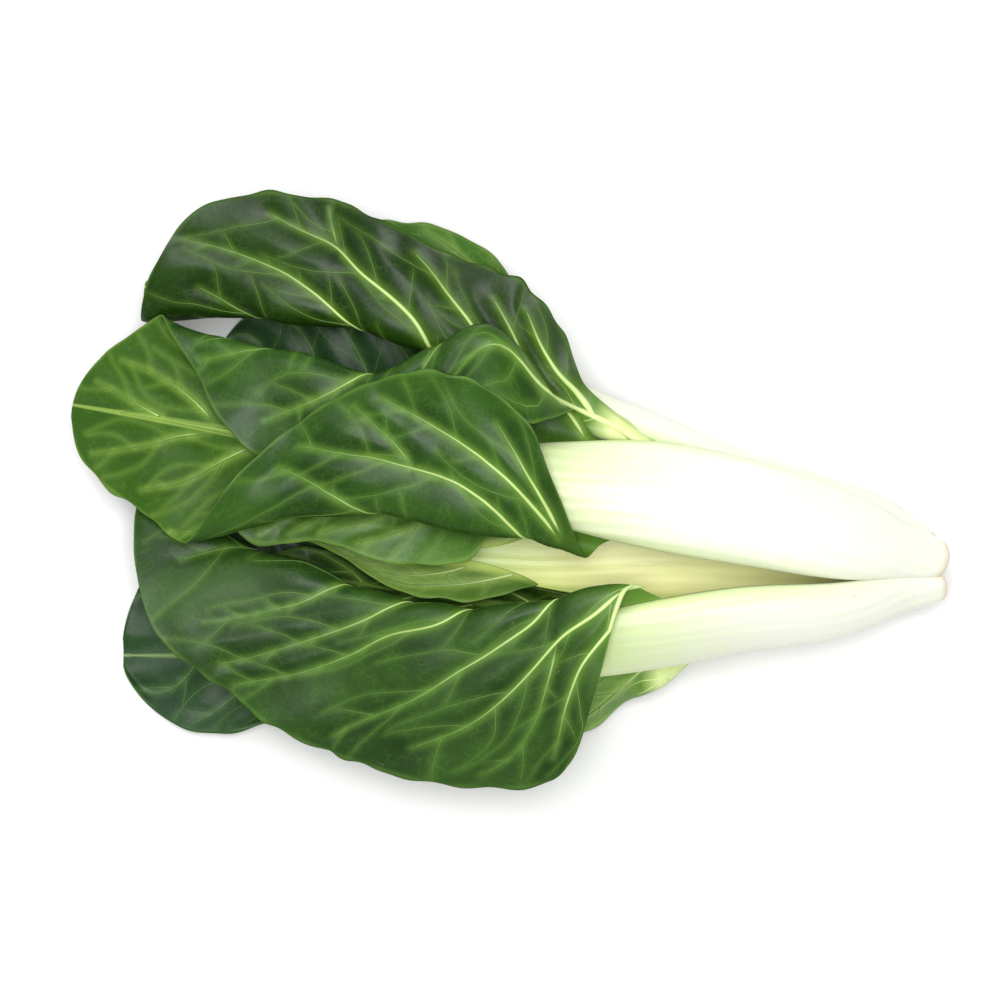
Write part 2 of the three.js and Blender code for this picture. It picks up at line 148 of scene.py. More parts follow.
LEAVES["front_leaf"] = dict(
    wide=19.5, deep=8.5, notch=1.3, tip=1.3, seed=22, mesh_step=1.2,
    line=[
        (165, -38, 29), (153, -42, 35), (129, -48, 44), (93, -51, 51), (57, -57, 53), (21, -62, 50),
        (-13, -62, 45), (-51, -50, 38), (-87, -37, 31), (-121, -25, 24), (-151, -16, 17),
    ],
    facing=[146, 146, 146, 144, 140, 135, 130, 125, 120, 115, 110],
    near=dict(
        reach=[44, 56, 58, 44, 34, 28, 22],
        fold=66, turn=[24, 0, -25, -25, -25, -25, -25], tight=24, lean=22, start=2.3, rise=2.7, blanch=4,
    ),
    far=dict(
        reach=[92, 102, 96, 86, 76, 63, 36],
        fold=[32.5, 28, 22, 16, 15, 15, 15],
        turn=[145, 154, 152, 150, 148, 140, 130],
        tight=[14, 15, 18, 22, 24, 24, 24],
        bow=[6, 20, 26, 26, 24, 16, 10],
        sweep=[0, 0, 2, 2, 4, 8, 10],
        start=3.85, rise=1.35, blanch=0.35,
        veins=[
            [(4.0, 39), (4.45, 51), (4.75, 59), (4.95, 72), (5.15, 92)],
            [(4.2, 36), (4.5, 42), (4.95, 45), (5.3, 55), (5.75, 67), (6.25, 81)],
            [(4.98, 46), (5.1, 60), (5.25, 74), (5.5, 86), (5.75, 92)],
            [(4.7, 17), (5.2, 36), (5.6, 40), (6.0, 47), (6.4, 62), (6.95, 79)],
            [(5.7, 10), (6.35, 29), (6.75, 34), (7.1, 46), (7.55, 61), (8.0, 72)],
            [(6.5, 7), (7.05, 30), (7.35, 40), (7.8, 54), (8.2, 66)],
            [(7.2, 5), (7.7, 32), (8.05, 41), (8.5, 53)],
            [(8.1, 3), (8.6, 20), (9.0, 34)],
        ],
    ),
)
LEAVES["back_leaf"] = dict(
    wide=18, deep=8.5, notch=1.3, tip=1.0, seed=33, mesh_step=1.15,
    line=[
        (165, -20, 21.5), (153, -10, 22.7), (129, -2, 28.6), (93, 8.5, 35), (57, 23.5, 35), (25, 36.5, 38),
        (-5, 56, 39), (-37, 73, 37), (-73, 80, 32), (-112, 84, 26), (-148, 84, 17),
    ],
    facing=[-12, -10, -6, 0, 8, 24, 48, 62, 66, 68, 70],
    near=dict(
        reach=[42, 45, 63, 60, 71, 68, 48],
        fold=[22.5, 20.5, 19, 18, 18, 18, 18],
        turn=[112, 130, 152, 160, 155, 150, 130],
        tight=[9, 12, 18, 22, 24, 24, 24],
        bow=10, start=3.45, rise=2.1, thick=1.5, blanch=2.2,
        veins=[
            [(3.7, 20), (4.2, 26), (4.7, 29), (5.3, 31), (5.65, 36), (6.0, 46), (6.3, 52)],
            [(4.7, 28), (5.0, 36), (5.35, 40), (5.7, 47), (5.95, 55)],
            [(5.4, 13), (5.9, 27), (6.3, 38), (6.75, 45), (7.15, 55)],
            [(6.2, 8), (6.85, 28), (7.25, 36), (7.6, 43), (7.9, 53), (8.3, 58), (8.55, 63)],
            [(7.85, 51), (8.0, 62), (8.05, 68)],
            [(7.1, 5), (7.7, 23), (8.0, 32), (8.35, 40), (8.9, 47), (9.3, 52)],
            [(8.2, 4), (8.9, 26), (9.2, 33)],
        ],
    ),
    far=dict(
        reach=[18, 20, 35, 42, 34, 16, 10],
        fold=30, turn=20, tight=40, start=5.2, rise=1.2,
    ),
)
LEAVES["middle_leaf"] = dict(
    wide=18, deep=7, notch=1.4, tip=1.3, seed=44, mesh_step=1.3,
    line=[
        (155, -29, 23), (141, -28, 25), (117, -27, 27), (89, -26, 29), (57, -26, 31), (25, -26, 33),
        (-7, -25, 34), (-43, -22, 32), (-75, -17, 28), (-103, -13, 24), (-129, -9, 19),
    ],
    facing=265,
    near=dict(
        reach=[20, 30, 50, 52, 44, 48, 30],
        fold=[24, 24, 24, 22, 20, 20, 20],
        turn=[-60, -120, -150, -158, -165, -168, -165],
        tight=26, wave=3.5, waves=3.5, phase=0.1, start=5.45, rise=0.8,
    ),
    far=dict(
        reach=[18, 18, 20, 17, 4, 3, 3],
        fold=24, turn=-20, tight=24, start=5.4, rise=0.9,
    ),
)
LEAVES["low_front_leaf"] = dict(
    wide=16, deep=8.5, notch=1.2, tip=1.3, seed=55, mesh_step=1.7,
    line=[
        (165, -38, 17), (153, -43, 15), (125, -46, 13), (93, -48, 11), (57, -51, 9.5), (21, -56, 8.7),
        (-15, -60, 7.6), (-51, -63, 6.5), (-87, -65, 5), (-123, -66, 3.5), (-158, -66, 1.4),
    ],
    facing=[218, 220, 226, 236, 246, 256, 262, 266, 268, 268, 268],
    near=dict(reach=[24, 30, 34, 40, 48, 60, 52], start=4.0, rise=2),
    far=dict(reach=[24, 26, 28, 26, 26, 33, 30], start=4.0, rise=2),
)
LEAVES["low_back_leaf"] = dict(
    wide=15.5, deep=8.5, notch=1.2, tip=1.3, seed=66, mesh_step=1.7,
    line=[
        (165, -28, 13), (153, -25.5, 10), (125, -18.7, 7.6), (93, -10, 8.8), (57, 0, 8.9), (21, 13, 8.8),
        (-11, 23, 8), (-39, 33, 7.5), (-67, 41, 6), (-95, 48, 4), (-121, 54, 2),
    ],
    facing=[288, 288, 290, 290, 288, 284, 278, 274, 272, 272, 272],
    near=dict(reach=[22, 29, 40, 46, 42, 36, 28], start=4.3, rise=0.8),
    far=dict(reach=[24, 30, 32, 34, 34, 30, 24], start=4.3, rise=0.8),
)
LEAVES["inner_front_leaf"] = dict(
    wide=8, deep=5, notch=1.0, tip=1.3, seed=77, mesh_step=1.7,
    line=[
        (155, -37, 27), (141, -40, 30), (117, -42, 31), (89, -44, 31), (61, -46, 31), (33, -46, 31),
        (5, -46, 31), (-23, -42, 28), (-51, -38, 25), (-77, -33, 22), (-99, -27, 19),
    ],
    facing=[185, 185, 190, 196, 202, 210, 218, 226, 234, 242, 248],
    near=dict(reach=[14, 16, 18, 16, 14, 12, 10], start=3.9, rise=0.8),
    far=dict(reach=[14, 18, 18, 15, 12, 10, 8], fold=14, turn=-40, tight=20, start=3.9, rise=0.8),
)
LEAVES["heart_leaf_1"] = dict(
    wide=12, deep=5, notch=1.0, tip=1.3, seed=88, mesh_step=1.7,
    line=[
        (155, -26, 35), (141, -22, 41), (117, -17, 47), (89, -11, 51), (61, -4, 54), (33, 2, 54),
        (5, 8, 52), (-23, 14, 49), (-51, 19, 45), (-77, 23, 40), (-103, 26, 35),
    ],
    facing=[75, 75, 75, 75, 75, 75, 76, 78, 80, 82, 84],
    near=dict(reach=[14, 16, 16, 16, 16, 14, 10], start=4.2, rise=0.8),
    far=dict(reach=[14, 20, 26, 28, 26, 20, 16], fold=24, turn=-20, tight=24, start=4.2, rise=0.8),
)
LEAVES["heart_leaf_2"] = dict(
    wide=10, deep=4.5, notch=1.0, tip=1.3, seed=99, mesh_step=1.7,
    line=[
        (155, -20, 26), (141, -14, 28), (117, -9, 30), (89, -3, 31), (61, 4, 32), (33, 12, 32),
        (5, 21, 32), (-23, 29, 31), (-49, 35, 30), (-73, 40, 28), (-95, 44, 26),
    ],
    facing=[-10, -8, 0, 8, 16, 26, 36, 46, 54, 60, 64],
    near=dict(reach=[12, 14, 14, 14, 14, 12, 10], start=4.2, rise=0.8),
    far=dict(reach=[12, 13, 13, 13, 12, 10, 8], start=4.2, rise=0.8),
)
print(len(LEAVES), "leaves")

# %% [markdown]
# ## Smooth values along a leaf
#
# A leaf changes slowly from crown to tip, so each value that is given at the stations is read through a
# Catmull-Rom curve, which passes through every value with no corner. A smooth step does the same across the
# blade: it takes the slope of the sheet from one value to another over the width of a roll. Straight lines
# between the stations would be simpler, but would show as creases.

# %% Curves and steps
TINY = 1e-9  # keeps a division by nothing from failing


def per_station(values):
    """A value for every station, from one number or from a list of which the last is the tip's."""
    if np.isscalar(values):
        return np.full(LAST + 1, float(values))
    return np.array([values[0]] * (LAST + 1 - len(values)) + list(values), float)


def along(values, station):
    """A smooth curve through the stations' values, read at any stations."""
    points = np.asarray(values, float)
    before = 2 * points[:1] - points[1:2]
    after = 2 * points[-1:] - points[-2:-1]
    points = np.concatenate([before, points, after])
    station = np.clip(station, 0, LAST - TINY)
    i = np.floor(station).astype(int)
    t = station - i
    if points.ndim == 2:
        t = t[:, None]
    a, b, c, d = (points[i + k] for k in range(4))
    return 0.5 * (2 * b + (c - a) * t + (2 * a - 5 * b + 4 * c - d) * t**2 + (3 * b - a - 3 * c + d) * t**3)


def smooth(low, high, x):
    t = np.clip((x - low) / np.maximum(high - low, TINY), 0, 1)
    return t * t * (3 - 2 * t)


def unit(vectors):
    return vectors / np.linalg.norm(vectors, axis=1, keepdims=True)


def each_side(signed, function):
    """The function's values for the near side where signed isn't below 0, and for the far side elsewhere."""
    return np.where(signed >= 0, function("near"), function("far"))


top_half = LEAVES["top_leaf"]["wide"] * np.array(HALF_SHARE)
print("half width of the top stalk at stations 0 to 10", top_half.round(1))

# %% [markdown]
# ## The sheet of one leaf
#
# A blade is a flat sheet that has been bent, so it is made by bending: going across from the midrib, the
# slope of the sheet is known everywhere, and adding up small steps with that slope gives the bent line. A
# cloth simulation could roll a leaf too, but it could not be told to match the rolls in the photograph. With
# the formula, a place on the flat leaf (a station and a distance across, positive on the near side) always
# gives one place in space, so veins and colours can be drawn on the flat leaf and bend with it.

# %% Bend a flat leaf into place
ROLL_STEPS = 64  # small steps that are added up across a blade
CHUNK = 6000  # places bent at a time, to spare memory
MIDRIB_SAMPLES = 401
HALVINGS = 24  # of the range that is searched for a blade's first station
FIRST_WIDTH = 1.4  # the blade's reach where it begins, as a share of the stalk's half width
FIRST_SLANT = 1.0  # stations by which it begins later out there
NOTCH_ROUND = 1.5
NEARBY = 0.001  # stations ahead and behind, to find the midrib's direction
LEAN_EASE = 12  # mm over which the lean comes in
LEAN_FROM = 0.8  # share of the half width where it starts
BOW_LIMIT = 1.2
THINNEST_HALF = 0.6
THINNEST_DEPTH = 0.7


class Sheet:
    """The bent sheet of one leaf."""

    def __init__(self, leaf):
        self.line = np.array(leaf["line"], float)
        self.facing = per_station(leaf["facing"])
        self.half_values = np.array(HALF_SHARE) * leaf["wide"]
        self.depth_values = np.array(DEPTH_SHARE) * leaf["deep"]
        self.tip = leaf["tip"]
        self.sides = {side: self.side_values(leaf[side]) for side in SIGNS}
        self.midrib_start = max(leaf["near"]["start"], leaf["far"]["start"]) + leaf["notch"]
        stations = np.linspace(0, LAST, MIDRIB_SAMPLES)
        steps = np.linalg.norm(np.diff(along(self.line, stations), axis=0), axis=1)
        self.stations = stations
        self.lengths = np.concatenate([[0], np.cumsum(steps)])

    def side_values(self, side):
        values = {key: per_station(side.get(key, usual)) for key, usual in USUAL.items()}
        values["reach"] = per_station(side["reach"])
        for key in ("start", "rise", "waves", "phase"):
            values[key] = side.get(key, 0)
        return values

    def length_at(self, station):
        return np.interp(station, self.stations, self.lengths)

    def station_at(self, length):
        return np.interp(length, self.lengths, self.stations)

    def half(self, station):
        return np.maximum(along(self.half_values, station), THINNEST_HALF)

    def depth(self, station):
        return np.maximum(along(self.depth_values, station), THINNEST_DEPTH)

    def reach(self, station, side):
        values = self.sides[side]
        first = self.half(station) * FIRST_WIDTH
        grown = smooth(values["start"], values["start"] + values["rise"], station)
        full = first + np.maximum(along(values["reach"], station) - first, 0) * grown
        left = np.clip((LAST - station) / self.tip, 0, 1)
        return np.maximum(full * np.sqrt(1 - (1 - left) ** 2), 1)

    def axes(self, station):
        """The ways forward along the midrib, outwards, and across to the near side."""
        ahead = along(self.line, np.minimum(station + NEARBY, LAST))
        behind = along(self.line, np.maximum(station - NEARBY, 0))
        forward = unit(ahead - behind)
        angle = np.radians(along(self.facing, station))
        out = np.stack([np.zeros_like(angle), np.cos(angle), np.sin(angle)], 1)
        out = unit(out - (out * forward).sum(1, keepdims=True) * forward)
        return forward, out, np.cross(out, forward)

    def place_side(self, station, distance, lift, side):
        """Points in mm, as drawn, for places on one half blade."""
        values = self.sides[side]
        here = {key: along(values[key], station)[:, None] for key in USUAL}
        half = self.half(station)[:, None]
        reach = self.reach(station, side)[:, None]
        cup = np.radians(along(CUP, station))[:, None]
        lean_start = half * LEAN_FROM

        def slope(x):
            """The slope of the sheet, in radians, so many mm from the midrib."""
            result = -cup * np.clip(x / half, 0, 1)
            result = result + np.radians(here["lean"]) * smooth(lean_start, lean_start + LEAN_EASE, x)
            roll = smooth(here["fold"] - here["tight"] / 2, here["fold"] + here["tight"] / 2, x)
            result = result + np.radians(here["turn"]) * roll
            return result + np.radians(here["bow"]) * np.clip(x / reach, 0, BOW_LIMIT) ** 2

        distance = distance[:, None]
        sweep = np.radians(here["sweep"])
        flat = distance * np.cos(sweep)
        steps = (np.arange(ROLL_STEPS) + 0.5) / ROLL_STEPS
        slopes = slope(flat * steps)
        over = np.cos(slopes).mean(1, keepdims=True) * flat
        up = np.sin(slopes).mean(1, keepdims=True) * flat
        margin = np.clip((distance - half) / np.maximum(reach - half, TINY), 0, 1)
        along_blade = (station[:, None] - FIRST_GIVEN) / (LAST - FIRST_GIVEN)
        ripple = np.sin(2 * np.pi * (values["waves"] * along_blade + values["phase"]))
        off = lift[:, None] + here["wave"] * margin**2 * ripple
        last = slope(flat)
        over = over - np.sin(last) * off
        up = up + np.cos(last) * off
        forward, out, across = self.axes(station)
        if side == "far":
            over = -over
        return along(self.line, station) + forward * distance * np.sin(sweep) + across * over + out * up

    def place(self, station, across, lift=0.0):
        """Points in metres, in the frame, for places on the flat leaf, lifted outwards by so many mm."""
        given = np.broadcast_arrays(station, across, lift)
        station, across, lift = (np.asarray(x, float).ravel() for x in given)
        points = np.empty((len(station), 3))
        for side in SIGNS:
            index = np.flatnonzero((across >= 0) == (side == "near"))
            for i in range(0, len(index), CHUNK):
                part = index[i:i + CHUNK]
                points[part] = self.place_side(station[part], np.abs(across[part]), lift[part], side)
        return points * MM + move

    def first_station(self, share, side):
        """Station where the blade begins at that share of its reach: a rounded notch at the midrib."""
        start = self.sides[side]["start"]
        deep = self.midrib_start - start
        low = np.full(len(share), float(start))
        high = low + deep
        slant = FIRST_SLANT * np.maximum(share * FIRST_WIDTH - 1, 0)
        for _ in range(HALVINGS):
            middle = (low + high) / 2
            covered = share * self.reach(middle, side) / self.half(middle)
            wanted = start + deep * np.maximum(0, 1 - covered) ** NOTCH_ROUND + slant
            low = np.where(wanted > middle, middle, low)
            high = np.where(wanted > middle, high, middle)
        return (low + high) / 2


sheets = {name: Sheet(leaf) for name, leaf in LEAVES.items()}
for name, sheet in sheets.items():
    print(name, "midrib length in mm", round(float(sheet.lengths[-1])))

# %% [markdown]
# ## Veins
#
# Large side veins leave the midrib, bend towards the tip and almost reach the margin. Where the photograph
# shows them, their courses are written above; on the other half blades they follow one rule. Smaller veins
# branch off them and run until they meet another vein. They are grown here on the flat leaf, in millimetres:
# a tip takes a short step, turns a little, and stops at the margin or where another vein already is. Every
# draw comes from a seeded generator, so each run grows the same leaf. A texture of lines would be less work,
# but its lines would not know where the stalk, the margin and the other veins are.

# %% Grow the veins of a half blade
VEIN_STEP = 1.2
CELL = 1.9  # side of a square that only one vein may grow into
MARGIN_GAP = 1.5  # where veins stop, from the margin
LARGE_VEINS = 7  # on a half blade whose veins follow the rule
USUAL_THICK = 0.62  # share of the radius for them
LAST_VEIN = 9.1  # station where the last of them leaves the midrib
VEIN_SLANT = 1.7  # stations that the first of them runs towards the tip
SLANT_LOSS = 0.2  # how much less a vein does that starts one station later
VEIN_REACH = 0.93  # share of the reach where they end
SWAY = 0.5
RADIUS = 1.5  # of the first large vein
RADIUS_LOSS = 0.75  # how much less the last one has
FORK_FROM = 42  # a course that starts further out is a fork
FORK_THICK = 0.6
BRANCH_RADIUS = 0.27
BRANCH_ANGLE = 44
BRANCH_TURNS = (0.8, 1.25)  # the least and most of that angle, as shares
BRANCH_GAP = (6, 13)  # mm from one branch to the next
BRANCH_STEPS = 34
FREE_STEPS = 4  # at first a branch may still be near its own large vein
BRANCH_BEND = 0.03  # share of its angle by which a branch turns back at every step
WANDER = 0.05  # radians of random turning at every step
SHORTEST = 4  # points, for a branch to be kept


def soften(points, width=7):
    """Rounds the corners of a line and keeps its two ends."""
    ends = ((width // 2, width // 2), (0, 0))
    padded = np.pad(points, ends, mode="reflect", reflect_type="odd")
    return np.stack([np.convolve(padded[:, k], np.ones(width) / width, mode="valid") for k in (0, 1)], 1)


class VeinTree:
    """Veins of one half blade. x runs along the midrib and y across it, both in mm."""

    def __init__(self, sheet, side, leaf):
        self.sheet = sheet
        self.side = side
        self.thick = leaf[side].get("thick", 1.0)
        self.random = np.random.default_rng(leaf["seed"] + (0 if side == "near" else 1))
        self.paths = []
        self.taken = {}
        if "veins" in leaf[side]:
            courses = leaf[side]["veins"]
        else:
            courses = self.usual_courses()
            self.thick *= USUAL_THICK
        for number, course in enumerate(courses):
            self.add_large(course, number / max(len(courses) - 1, 1))
        for path in list(self.paths):
            self.add_branches(path)

    def usual_courses(self):
        """Side veins that leave the midrib at even steps and bend towards the tip."""
        first = self.sheet.sides[self.side]["start"] + 0.3
        share = np.linspace(0, 1, 5)
        courses = []
        for start in np.linspace(first, LAST_VEIN, LARGE_VEINS):
            end = min(start + VEIN_SLANT - SLANT_LOSS * (start - first), 9.9)
            station = start + (end - start) * share**1.35
            foot = 0.7 * self.sheet.half(station[0])
            reach = self.sheet.reach(station, self.side)
            courses.append(list(zip(station, foot + (VEIN_REACH * reach - foot) * share**0.95)))
        return courses

    def cell(self, x, y):
        return int(x // CELL), int(y // CELL)

    def take(self, points, owner):
        for x, y in points:
            self.taken.setdefault(self.cell(x, y), owner)

    def inside(self, x, y):
        if x >= self.sheet.lengths[-1] - 1 or y < 0:
            return False
        station = float(self.sheet.station_at(x))
        return y < float(self.sheet.reach(np.array([station]), self.side)[0]) - MARGIN_GAP

    def add_large(self, course, number):
        """A large vein along its course. The number is 0 for the first one and 1 for the last."""
        station, y = np.array(course, float).T
        x = self.sheet.length_at(station)
        reached = np.concatenate([[0], np.cumsum(np.hypot(np.diff(x), np.diff(y)))])
        t = np.linspace(0, reached[-1], math.ceil(reached[-1] / VEIN_STEP) + 1)
        points = np.stack([np.interp(t, reached, x), np.interp(t, reached, y)], 1)
        sway = SWAY * np.sin(t / self.random.uniform(7, 10) + self.random.uniform(0, 6))
        points[:, 0] += sway * smooth(0, 12, t)
        points = soften(soften(points))
        limit = self.sheet.reach(self.sheet.station_at(points[:, 0]), self.side) - MARGIN_GAP
        points[:, 1] = np.minimum(points[:, 1], limit)
        size = (RADIUS - RADIUS_LOSS * number) * (FORK_THICK if y[0] > FORK_FROM else 1) * self.thick
        radius = size * (1 - 0.8 * (t / t[-1]) ** 0.7)
        if y[0] > self.sheet.half(station[0]):
            radius = radius * (0.25 + 0.75 * smooth(0, 9, t))
        self.paths.append(dict(points=points, radius=radius, order=1))
        self.take(points, len(self.paths) - 1)

    def add_branches(self, path):
        """Small veins on both sides of a large one, in turns."""
        parent = next(i for i, p in enumerate(self.paths) if p is path)
        points = path["points"]
        reached = np.arange(len(points)) * VEIN_STEP
        position = self.random.uniform(6, 12)
        hand = 1 if self.random.random() < 0.5 else -1
        while position < reached[-1] - 3:
            k = max(int(position / VEIN_STEP), 1)
            heading = math.atan2(*(points[k] - points[k - 1])[::-1])
            turn = math.radians(BRANCH_ANGLE * self.random.uniform(*BRANCH_TURNS)) * hand
            thick = min(BRANCH_RADIUS - 0.1 * position / reached[-1], path["radius"][k] * 0.7)
            self.grow(points[k], heading + turn, -turn * BRANCH_BEND, thick, parent)
            hand = -hand
            position += self.random.uniform(*BRANCH_GAP)

    def grow(self, start, heading, bend, radius, parent):
        """A branch that takes short steps until it meets the margin or another vein."""
        number = len(self.paths)
        x, y = start
        points = [(x, y)]
        for step in range(BRANCH_STEPS):
            heading += bend + self.random.normal(0, WANDER)
            x += math.cos(heading) * VEIN_STEP
            y += math.sin(heading) * VEIN_STEP
            if not self.inside(x, y):
                break
            points.append((x, y))
            owner = self.taken.get(self.cell(x, y))
            if owner is not None and owner != number and not (owner == parent and step < FREE_STEPS):
                break
        if len(points) < SHORTEST:
            return
        self.take(points[2:], number)
        t = np.linspace(0, 1, len(points))
        self.paths.append(dict(points=np.array(points), radius=radius * (1 - 0.6 * t), order=2))


trees = {(name, side): VeinTree(sheets[name], side, leaf) for name, leaf in LEAVES.items() for side in SIGNS}
print(sum(len(tree.paths) for tree in trees.values()), "veins")

# %% [markdown]
# ## The relief of a blade
#
# On the inner side of a leaf the veins lie in grooves and the green bulges between them; on the outer side it
# is the other way round. A k-d tree finds the nearest vein of every vertex quickly, and the sheet is pushed
# outwards near it by an amount that falls off with that distance. Slow waves and a ruffled margin come from a
# few sines with seeded directions, which is smoother and cheaper than a noise texture on a mesh.

# %% Distance to the veins, and waves
GROOVES = {1: (2.1, 6.0), 2: (0.4, 2.2)}  # depth and width in mm for the large and the small veins
GROOVE_FLOOR = 1.6  # half width of the rounded bottom of a groove
GROOVE_LEVEL = 0.7  # share of a groove's depth that lies below the mean sheet
SLOW_WAVE, SLOW_HEIGHT = 60, 1.2
RUFFLE_WAVE, RUFFLE_HEIGHT, MARGIN_HEIGHT = 26, 0.25, 1.3
EASE = 8  # mm beside the stalk over which the relief comes in
EASE_FROM = 0.9  # share of the half width where it starts
MARGIN_FROM = 0.55  # share of the reach beyond which the ruffle grows
RUFFLE_STRETCH = 0.6


def waves(seed, wavelength, x, y, count=8):
    """Smooth seeded ripples, mostly between -1 and 1."""
    random = np.random.default_rng(seed)
    total = np.zeros(len(x))
    for _ in range(count):
        angle = random.uniform(0, 2 * np.pi)
        length = wavelength * random.uniform(0.7, 1.5)
        phase = random.uniform(0, 2 * np.pi)
        total += np.sin(2 * np.pi * (x * math.cos(angle) + y * math.sin(angle)) / length + phase)
    return total / math.sqrt(count) * 0.8


class Relief:
    """How far the sheet of one leaf stands off its smooth shape, and how near each place is to a vein."""

    def __init__(self, name):
        self.sheet = sheets[name]
        self.seed = LEAVES[name]["seed"]
        self.finders = {}
        self.sizes = {}
        for order in GROOVES:
            found = [(path["points"] * [1, sign], path["radius"]) for side, sign in SIGNS.items()
                     for path in trees[name, side].paths if path["order"] == order]
            points = np.concatenate([points for points, _ in found])
            self.sizes[order] = np.concatenate([radius for _, radius in found])
            finder = KDTree(len(points))
            for i, (x, y) in enumerate(points):
                finder.insert((x, y, 0), i)
            finder.balance()
            self.finders[order] = finder

    def nearest(self, x, y):
        """For each order, how far its nearest vein is, and that vein's radius there."""
        result = {}
        for order, finder in self.finders.items():
            hits = [finder.find((a, b, 0)) for a, b in zip(x, y)]
            index = [hit[1] for hit in hits]
            result[order] = np.array([hit[2] for hit in hits]), self.sizes[order][index]
        return result

    def read(self, station, across):
        """The lift in mm, and how far the veins of each order are and how thick."""
        x = self.sheet.length_at(station)
        near = self.nearest(x, across)
        edge = self.sheet.half(station) * EASE_FROM
        blade = smooth(edge, edge + EASE, np.abs(across))
        lift = np.zeros(len(x))
        for order, (deep, wide) in GROOVES.items():
            rounded = np.hypot(near[order][0], GROOVE_FLOOR) - GROOVE_FLOOR
            lift += deep * (np.exp(-rounded / wide) - GROOVE_LEVEL)
        reach = each_side(across, lambda side: self.sheet.reach(station, side))
        margin = smooth(MARGIN_FROM, 1, np.abs(across) / reach)
        lift += waves(self.seed, SLOW_WAVE, x, across) * SLOW_HEIGHT
        ruffle = RUFFLE_HEIGHT + MARGIN_HEIGHT * margin**2
        lift += waves(self.seed + 1, RUFFLE_WAVE, x, across * RUFFLE_STRETCH) * ruffle
        return lift * blade, near


reliefs = {name: Relief(name) for name in LEAVES}
print("reliefs ready for", len(reliefs), "leaves")

# %% [markdown]
# ## Grids that become leaves
#
# Every surface here starts as a flat grid from bmesh. Its vertices know their share of the way across and
# along, and a formula sends each one to its place. The flat place is also kept as a UV map in real size, so a
# pattern drawn on it follows the leaf through every roll. A surface could be pulled into shape by hand too,
# but every change of a number would then mean doing that again.


def grid_mesh(name, *sizes):
    """Flat grids of so many columns and rows each, and each vertex's share of the way across and along."""
    form = bmesh.new()
    for columns, rows in sizes:
        bmesh.ops.create_grid(form, x_segments=columns, y_segments=rows, size=0.5)
    mesh = bpy.data.meshes.new(name)
    form.to_mesh(mesh)
    form.free()
    places = np.empty(3 * len(mesh.vertices))
    mesh.vertices.foreach_get("co", places)
    shares = places.reshape(-1, 3)[:, :2] + 0.5
    return mesh, shares[:, 0], shares[:, 1]


def write_mesh(mesh, points, flat, values):
    """Moves the vertices to their places, and keeps the flat places and any values on them."""
    mesh.vertices.foreach_set("co", points.ravel())
    corner = np.empty(len(mesh.loops), np.int32)
    mesh.loops.foreach_get("vertex_index", corner)
    layer = mesh.uv_layers.new(name="Flat")
    layer.data.foreach_set("uv", (flat[corner] * MM).ravel())
    for name, numbers in values.items():
        attribute = mesh.attributes.new(name, "FLOAT", "POINT")
        attribute.data.foreach_set("value", np.asarray(numbers, np.float32))
    mesh.shade_smooth()
    mesh.update()


def weld(mesh, distance, fill):
    """Joins the vertices that meet, fills the open ends if asked to, and turns all faces outwards."""
    form = bmesh.new()
    form.from_mesh(mesh)
    bmesh.ops.remove_doubles(form, verts=form.verts, dist=distance * MM)
    if fill:
        bmesh.ops.holes_fill(form, edges=[edge for edge in form.edges if edge.is_boundary], sides=0)
    bmesh.ops.recalc_face_normals(form, faces=form.faces)
    form.to_mesh(mesh)
    form.free()
    mesh.shade_smooth()


def add_piece(name, mesh, materials, node):
    """Puts the mesh in the scene as a piece that stands for a solid of the frame."""
    piece = bpy.data.objects.new(name, mesh)
    bpy.context.collection.objects.link(piece)
    for material in materials:
        mesh.materials.append(material)
    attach(piece, "root")
    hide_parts(node)
    return piece


# %% [markdown]
# ## Writing shader maths
#
# Colours are worked out by nodes. A long chain of Math nodes is hard to read, so a number on a wire is
# wrapped in a small class whose operators add the nodes: `1 - mask * 2` reads as it would on paper. Every
# other node comes from one method, which sets the node's settings first and its sockets after that.

# %% Wires and materials
class Wire:
    """A number on a wire. Arithmetic on it adds Math nodes."""

    def __init__(self, paint, socket):
        self.paint = paint
        self.socket = socket

    def maths(self, operation, first, second=0.0, clamp=False):
        settings = {"operation": operation, "use_clamp": clamp}
        return self.paint.wire("ShaderNodeMath", settings, {0: first, 1: second})

    def __add__(self, other):
        return self.maths("ADD", self, other)

    def __sub__(self, other):
        return self.maths("SUBTRACT", self, other)

    def __rsub__(self, other):
        return self.maths("SUBTRACT", other, self)

    def __mul__(self, other):
        return self.maths("MULTIPLY", self, other)

    def clamped(self):
        return self.maths("ADD", self, 0.0, clamp=True)

    def step(self, low, high):
        """0 below low, 1 above high and smooth between them. It falls where high is the smaller."""
        inputs = {"Value": self, "From Min": low, "From Max": high}
        return self.paint.wire("ShaderNodeMapRange", {"interpolation_type": "SMOOTHSTEP"}, inputs)

    __radd__ = __add__
    __rmul__ = __mul__


